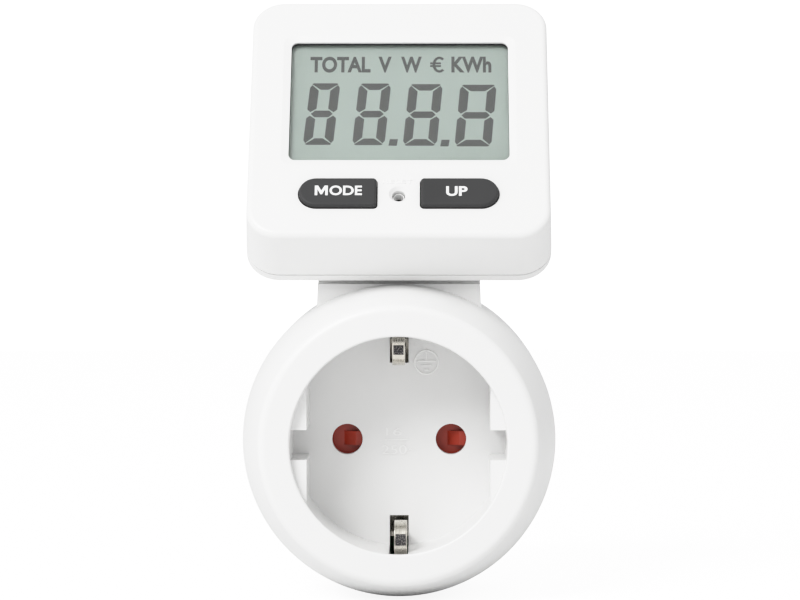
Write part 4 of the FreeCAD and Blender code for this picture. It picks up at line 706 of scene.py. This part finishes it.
class METER_OT_keys(bpy.types.Operator):
    """Print the legends on the two key caps, raise the reset word and turn the reset pin"""
    bl_idname = "meter.keys"
    bl_label = "Keys"

    def execute(self, context):
        ink = plastic("legend white", (0.85, 0.85, 0.85), 0.4, 0.5, 0.2)
        mode = head_plane("mode_button")
        bm = bmesh.new()
        add_prism(bm, letter_m(INITIAL_LEFT, LEGEND_FOOT, INITIAL_RIGHT, LEGEND_TOP),
                  -INK_DEPTH, INK_DEPTH)
        initial = set_on(mesh_object("mode_initial", bm), mode)
        finish_piece(initial, "mode_key", ink)
        lettering("mode_legend", [MODE_REST], mode, -INK_DEPTH, INK_DEPTH, 0.025,
                  "mode_key", ink)
        lettering("up_legend", [UP_WORD], head_plane("up_button"), -INK_DEPTH, INK_DEPTH, 0.03,
                  "up_key", ink)
        # The raised reset word takes the lighter white: painted highlight.
        lettering("reset_word", [RESET_WORD], head_plane("head_front_shell"), -INK_DEPTH, 0.1 * MM,
                  0.0, "head", highlighted_relief())
        self.reset_pin()
        return {"FINISHED"}

    @staticmethod
    def reset_pin():
        """A hollow white pin with its collar, and a black disc at the bottom of its bore that paints the
        shade deep in the hole.
        """
        front, back = -reach("reset_plunger", OUTWARD)[1], -reach("reset_plunger", OUTWARD)[0]
        radius, bore, collar, round_off = 1.0 * MM, 0.86 * MM, 1.7 * MM, 0.05 * MM
        collar_front, collar_back = front + 1.0 * MM, front + 1.7 * MM
        floor = min(collar_back, back - 0.3 * MM)
        profile = [(0, floor), (bore, floor), (bore, front + round_off), (bore + round_off, front),
                   (radius - round_off, front), (radius, front + round_off), (radius, collar_front),
                   (collar, collar_front), (collar, collar_back), (radius, collar_back),
                   (radius, back), (0, back)]
        place = Plane(ACROSS, UPWARD, OUTWARD, 0, middle("reset_plunger", UPWARD), 0)
        bm = bmesh.new()
        add_turned(bm, [(r, -depth) for r, depth in profile])
        pin = set_on(mesh_object("reset_pin_hollow", bm), place)
        shade_smooth(pin)
        pin.data.set_sharp_from_angle(angle=math.radians(40))
        finish_piece(pin, "reset_key", finish_for("case_white"))
        # A black disc at the bore's floor: painted shade for the deep hole.
        bm = bmesh.new()
        add_prism(bm, circle(0, 0, bore - 0.02 * MM, 48), -floor - 0.05 * MM, -floor + 0.15 * MM)
        shade_disc = set_on(mesh_object("reset_pin_painted_shade", bm), place)
        finish_piece(shade_disc, "reset_key", finish_for("frame_black"))
        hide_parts("reset_plunger")


def smooth_line(points, steps):
    """A rounded line through side points, with straight ends."""
    line = [points[0]]
    ends = [points[0], *points, points[-1]]
    for a, b, c, d in zip(ends, ends[1:], ends[2:], ends[3:]):
        for step in range(1, steps + 1):
            t = step / steps
            line.append(tuple(0.5 * (2 * q + (r - p) * t + (2 * p - 5 * q + 4 * r - u) * t ** 2
                                     + (3 * q - p - 3 * r + u) * t ** 3)
                              for p, q, r, u in zip(a, b, c, d)))
    return line


def sprung_strip(name, line, wall, width, shift, soft=0.09 * MM):
    """A strip of one thickness along a side line, as wide as it is stamped."""
    bm = bmesh.new()
    sections = []
    for index, (y, z) in enumerate(line):
        ahead, behind = line[min(index + 1, len(line) - 1)], line[max(index - 1, 0)]
        along = Vector((ahead[0] - behind[0], ahead[1] - behind[1])).normalized()
        normal = Vector((-along.y, along.x)) * wall
        corners = [(shift + side * width / 2, y + layer * normal.x, z + layer * normal.y)
                   for side, layer in ((-1, 0), (1, 0), (1, 1), (-1, 1))]
        sections.append([bm.verts.new(corner) for corner in corners])
    add_walls(bm, sections)
    strip = mesh_object(name, bm)
    shade_smooth(strip)
    soften_edges(strip, soft)
    return strip


CLIP_WALL = 0.55 * MM
CLIP_BENDS = [(0.45, 6.2), (0.12, 4.3), (0.5, 2.0), (1.7, 0.6), (4.0, 0.0), (6.4, 0.15), (13.5, 2.7)]
# End of the recess, node, sideways shift and how far above the apex the dark patch reaches that paints
# the clip's reflection.
CLIPS = [(1, "earth_clip_top", 0.0, 3.75 * MM), (-1, "earth_clip_bottom", 0.38 * MM, 4.3 * MM)]
# Foot, rise and share of the clip's width of the dark patch that paints the reflection of the dark
# surround on the clip's front facet.
REFLECTION_FOOT, REFLECTION_RISE, REFLECTION_SHARE = 1.9 * MM, 0.05 * MM, 0.8


class METER_OT_clips(bpy.types.Operator):
    """Bend the two sprung earth clips that reach into the recess, each with a dark patch on its front
    facet that paints the reflection of the dark surround
    """
    bl_idname = "meter.clips"
    bl_label = "Earth clips"

    def execute(self, context):
        # A dark specked strip laid on each clip's front facet: painted reflection of the dark surround.
        painted_reflection = specked("clip painted reflection", (0.018, 0.016, 0.019), (0.34, 0.32, 0.3), 0.5, 5200, 0.75, 0.9)
        for end, node, shift, reflection_top in CLIPS:
            low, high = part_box(node)
            width = high.x - low.x
            apex = low.z if end > 0 else -high.z
            side = [(low.y + y * MM, apex + z * MM) for y, z in CLIP_BENDS]
            line = smooth_line(side, 8) + [(high.y, side[-1][1])]
            front = [(y, end * z) for y, z in line
                     if y < low.y + 0.8 * MM and REFLECTION_FOOT < z - apex < reflection_top]
            clip = sprung_strip(node + "_formed", [(y, end * z) for y, z in line], end * CLIP_WALL,
                                width, shift)
            finish_piece(clip, "root", finish_for("nickel_strip"))
            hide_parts(node)
            reflection_patch = sprung_strip(node + "_painted_reflection", front, -end * REFLECTION_RISE, REFLECTION_SHARE * width, shift,
                                0.01 * MM)
            finish_piece(reflection_patch, "root", painted_reflection)
        return {"FINISHED"}


def add_coil(bm, start, end, radius, wire, turns, steps=24, sides=8):
    """A round wire wound about the x axis, from one x to the other."""
    rings = []
    for step in range(turns * steps + 1):
        turn = 2 * math.pi * step / steps
        out = Vector((0, math.cos(turn), math.sin(turn)))
        along = start + (end - start) * step / (turns * steps)
        rings.append([bm.verts.new(Vector((along + v, 0, 0)) + out * (radius + u))
                      for u, v in circle(0, 0, wire, sides)])
    add_walls(bm, rings)


SPRING_TURNS = 9
SPRING_WIRE = 0.2 * MM


class METER_OT_spring(bpy.types.Operator):
    """Wind the shutter's return spring at its rest length; the coil does not follow the shutter as it
    slides
    """
    bl_idname = "meter.spring"
    bl_label = "Shutter spring"

    def execute(self, context):
        low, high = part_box("shutter_spring")
        centre = (Vector(low) + Vector(high)) / 2
        wire = SPRING_WIRE
        bm = bmesh.new()
        add_coil(bm, low.x + wire, high.x - wire, (high.z - low.z) / 2 - wire, wire, SPRING_TURNS)
        bmesh.ops.translate(bm, verts=bm.verts, vec=(0, centre.y, centre.z))
        spring = mesh_object("shutter_spring_wound", bm)
        shade_smooth(spring)
        finish_piece(spring, "root", finish_for("spring_steel"))
        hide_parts("shutter_spring")
        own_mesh(spring)
        return {"FINISHED"}


MARK_SINK, MARK_RISE = -0.05 * MM, 0.2 * MM
EARTH_U, EARTH_V, EARTH_RADIUS, EARTH_LINE = 5.0 * MM, 14.1 * MM, 2.3 * MM, 0.3 * MM
# Half width and height above the symbol's middle of each earth bar, in millimetres.
EARTH_BARS = [(1.65, 0.4), (1.0, -0.45), (0.45, -1.25)]
RATING = [("16", -2.4 * MM, 0.65 * MM, 0.45 * MM, 2.1 * MM),
          ("250", -3.2 * MM, -2.75 * MM, 1.4 * MM, -1.1 * MM),
          ("~", 1.75 * MM, -2.1 * MM, 2.7 * MM, -1.75 * MM)]
RATING_RULE = (-2.6 * MM, -0.2 * MM, 1.6 * MM, 0.0)


class METER_OT_marks(bpy.types.Operator):
    """Raise the earth symbol and the rating on the recess floor"""
    bl_idname = "meter.marks"
    bl_label = "Recess marks"

    def execute(self, context):
        plane = recess_plane()
        # The raised marks take a lighter white than the floor round them: painted highlight.
        white = highlighted_relief()
        u, v, radius, line = EARTH_U, EARTH_V, EARTH_RADIUS, EARTH_LINE
        bars = [bar(u - line / 2, v + 0.4 * MM, u + line / 2, v + radius - line)]
        for half, rise in EARTH_BARS:
            top = v + rise * MM
            bars.append(bar(u - half * MM, top - line, u + half * MM, top))
        bm = bmesh.new()
        add_prism(bm, circle(u, v, radius), MARK_SINK, MARK_RISE, [circle(u, v, radius - line)])
        for outline in bars:
            add_prism(bm, outline, MARK_SINK, MARK_RISE)
        symbol = set_on(mesh_object("earth_symbol", bm), plane)
        soften_edges(symbol, 0.08 * MM)
        finish_piece(symbol, "root", white)
        lettering("rating_numbers", RATING, plane, MARK_SINK, MARK_RISE, 0.0, "root",
                  white)
        bm = bmesh.new()
        add_prism(bm, bar(*RATING_RULE), MARK_SINK, MARK_RISE)
        rule = set_on(mesh_object("rating_rule", bm), plane)
        finish_piece(rule, "root", white)
        return {"FINISHED"}


class METER_OT_finishes(bpy.types.Operator):
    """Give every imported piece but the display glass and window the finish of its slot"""
    bl_idname = "meter.finishes"
    bl_label = "Finishes"

    def execute(self, context):
        for node, piece in NODES.items():
            slot = SLOT_OF[node]
            if slot in ("lcd_glass", "window_clear"):
                continue
            piece.data.materials[0] = finish_for(slot)
        return {"FINISHED"}


PRINT_LEVELS = [(0.35, 0.35), (0.6, 0.6), (0.75, 0.735), (0.9, 0.835), (1.1, 0.91), (1.3, 0.953),
                (1.6, 0.985)]
CURVE_END = 2.0
BACKDROP_LEVEL = 2.5
FLOOR_RADIUS = 0.9
KEY_LIGHT_PLACE, KEY_LIGHT_TARGET, KEY_LIGHT_SIZE = (-0.5, -0.75, 0.8), (0, -0.04, 0.03), 0.6
CARD_HALF, CARD_DISTANCE = 0.22, 1.0


class METER_OT_stage(bpy.types.Operator):
    """Set the floor, the lights and the camera"""
    bl_idname = "meter.stage"
    bl_label = "Studio"

    def execute(self, context):
        scene = context.scene
        view = scene.meter_view
        scene.view_settings.view_transform = "Standard"
        world = bpy.data.worlds.new("studio")
        scene.world = world
        world.use_nodes = True
        self.surround(world.node_tree, view.fill)
        self.print_curve(scene.view_settings)
        self.floor(CAD_BOX[0].z - 0.02 * MM)
        self.light(scene, "key", KEY_LIGHT_PLACE, KEY_LIGHT_TARGET, KEY_LIGHT_SIZE, view.key_light)
        self.dark_card(view)
        self.camera(scene, view)
        return {"FINISHED"}

    @staticmethod
    def floor(height):
        """A white table top that the case's round side just touches."""
        bm = bmesh.new()
        bmesh.ops.create_circle(bm, cap_ends=True, segments=128, radius=FLOOR_RADIUS)
        table = mesh_object("floor", bm)
        table.location.z = height
        paper = plastic("table white", (0.88, 0.88, 0.88), 0.6, 0.8, 0.1, 400)
        tree = paper.node_tree
        path = tree.nodes.new("ShaderNodeLightPath")
        shader = tree.nodes["Principled BSDF"]
        shader.inputs["Emission Color"].default_value = (1, 1, 1, 1)
        join(tree, (path.outputs["Is Camera Ray"], shader.inputs["Emission Strength"]))
        table.data.materials.append(paper)

    @staticmethod
    def surround(tree, fill):
        """White paper all round, lit brighter where the camera looks straight at it."""
        back = tree.nodes["Background"]
        path = tree.nodes.new("ShaderNodeLightPath")
        level = tree.nodes.new("ShaderNodeMapRange")
        level.inputs["To Min"].default_value = fill
        level.inputs["To Max"].default_value = BACKDROP_LEVEL
        back.inputs["Color"].default_value = (1, 1, 1, 1)
        join(tree, (path.outputs["Is Camera Ray"], level.inputs["Value"]),
             (level.outputs["Result"], back.inputs["Strength"]))

    @staticmethod
    def print_curve(settings):
        """Holds detail in the white plastic, as a printed studio picture does."""
        settings.use_curve_mapping = True
        mapping = settings.curve_mapping
        mapping.use_clip = True
        mapping.clip_max_x = CURVE_END
        curve = mapping.curves[3]
        curve.points[1].location = (CURVE_END, 1.0)
        for level in PRINT_LEVELS:
            curve.points.new(*level)
        mapping.update()

    @staticmethod
    def dark_card(view):
        """A black card behind the camera that only polished metal shows."""
        bm = bmesh.new()
        bmesh.ops.create_grid(bm, x_segments=8, y_segments=8, size=CARD_HALF)
        card = mesh_object("dark_card", bm)
        card.rotation_euler = (math.radians(90), 0, 0)
        card.location = (0, -CARD_DISTANCE, view.height)
        card.data.materials.append(plastic("card black", (0.01, 0.01, 0.01), 0.8, 0.9))
        card.visible_camera = False
        card.visible_diffuse = False
        card.visible_shadow = False
        card.visible_transmission = False

    @staticmethod
    def light(scene, name, place, target, size, power):
        data = bpy.data.lights.new(name, "AREA")
        data.shape = "DISK"
        data.size = size
        data.energy = power
        lamp = bpy.data.objects.new(name, data)
        lamp.location = place
        lamp.rotation_euler = (Vector(target) - Vector(place)).to_track_quat("-Z", "Y").to_euler()
        scene.collection.objects.link(lamp)

    @staticmethod
    def camera(scene, view):
        data = bpy.data.cameras.new("view")
        data.lens = view.lens
        data.sensor_width = 36
        data.clip_start = 0.01
        holder = bpy.data.objects.new("view", data)
        rim = reach("front_shell", Vector((0, 1, 0)))[0]
        holder.location = (view.side, rim - view.distance, view.height)
        holder.rotation_euler = (math.radians(90) - view.pitch, 0, view.yaw)
        scene.collection.objects.link(holder)
        scene.camera = holder


class METER_PT_panel(bpy.types.Panel):
    """Lists the meter's steps and settings"""
    bl_idname = "METER_PT_panel"
    bl_label = "Power meter"
    bl_space_type = "VIEW_3D"
    bl_region_type = "UI"
    bl_category = "Power meter"

    def draw(self, context):
        scene = context.scene
        for group in (scene.meter_finish, scene.meter_display, scene.meter_view):
            box = self.layout.box()
            for label in group.__annotations__:
                box.prop(group, label)
        for step in STEPS:
            self.layout.operator(step.bl_idname)


SETTINGS = {"meter_finish": MeterFinish, "meter_display": MeterDisplay, "meter_view": MeterView}
STEPS = (METER_OT_finishes, METER_OT_display, METER_OT_keys, METER_OT_clips, METER_OT_spring,
         METER_OT_marks, METER_OT_stage)


def register():
    for kind in (*SETTINGS.values(), *STEPS, METER_PT_panel):
        bpy.utils.register_class(kind)
    for name, kind in SETTINGS.items():
        setattr(bpy.types.Scene, name, PointerProperty(type=kind))


def unregister():
    for name in SETTINGS:
        delattr(bpy.types.Scene, name)
    for kind in reversed((*SETTINGS.values(), *STEPS, METER_PT_panel)):
        bpy.utils.unregister_class(kind)


def main():
    register()
    for step in STEPS:
        group, call = step.bl_idname.split(".")
        getattr(getattr(bpy.ops, group), call)()


if __name__ == "__main__":
    main()
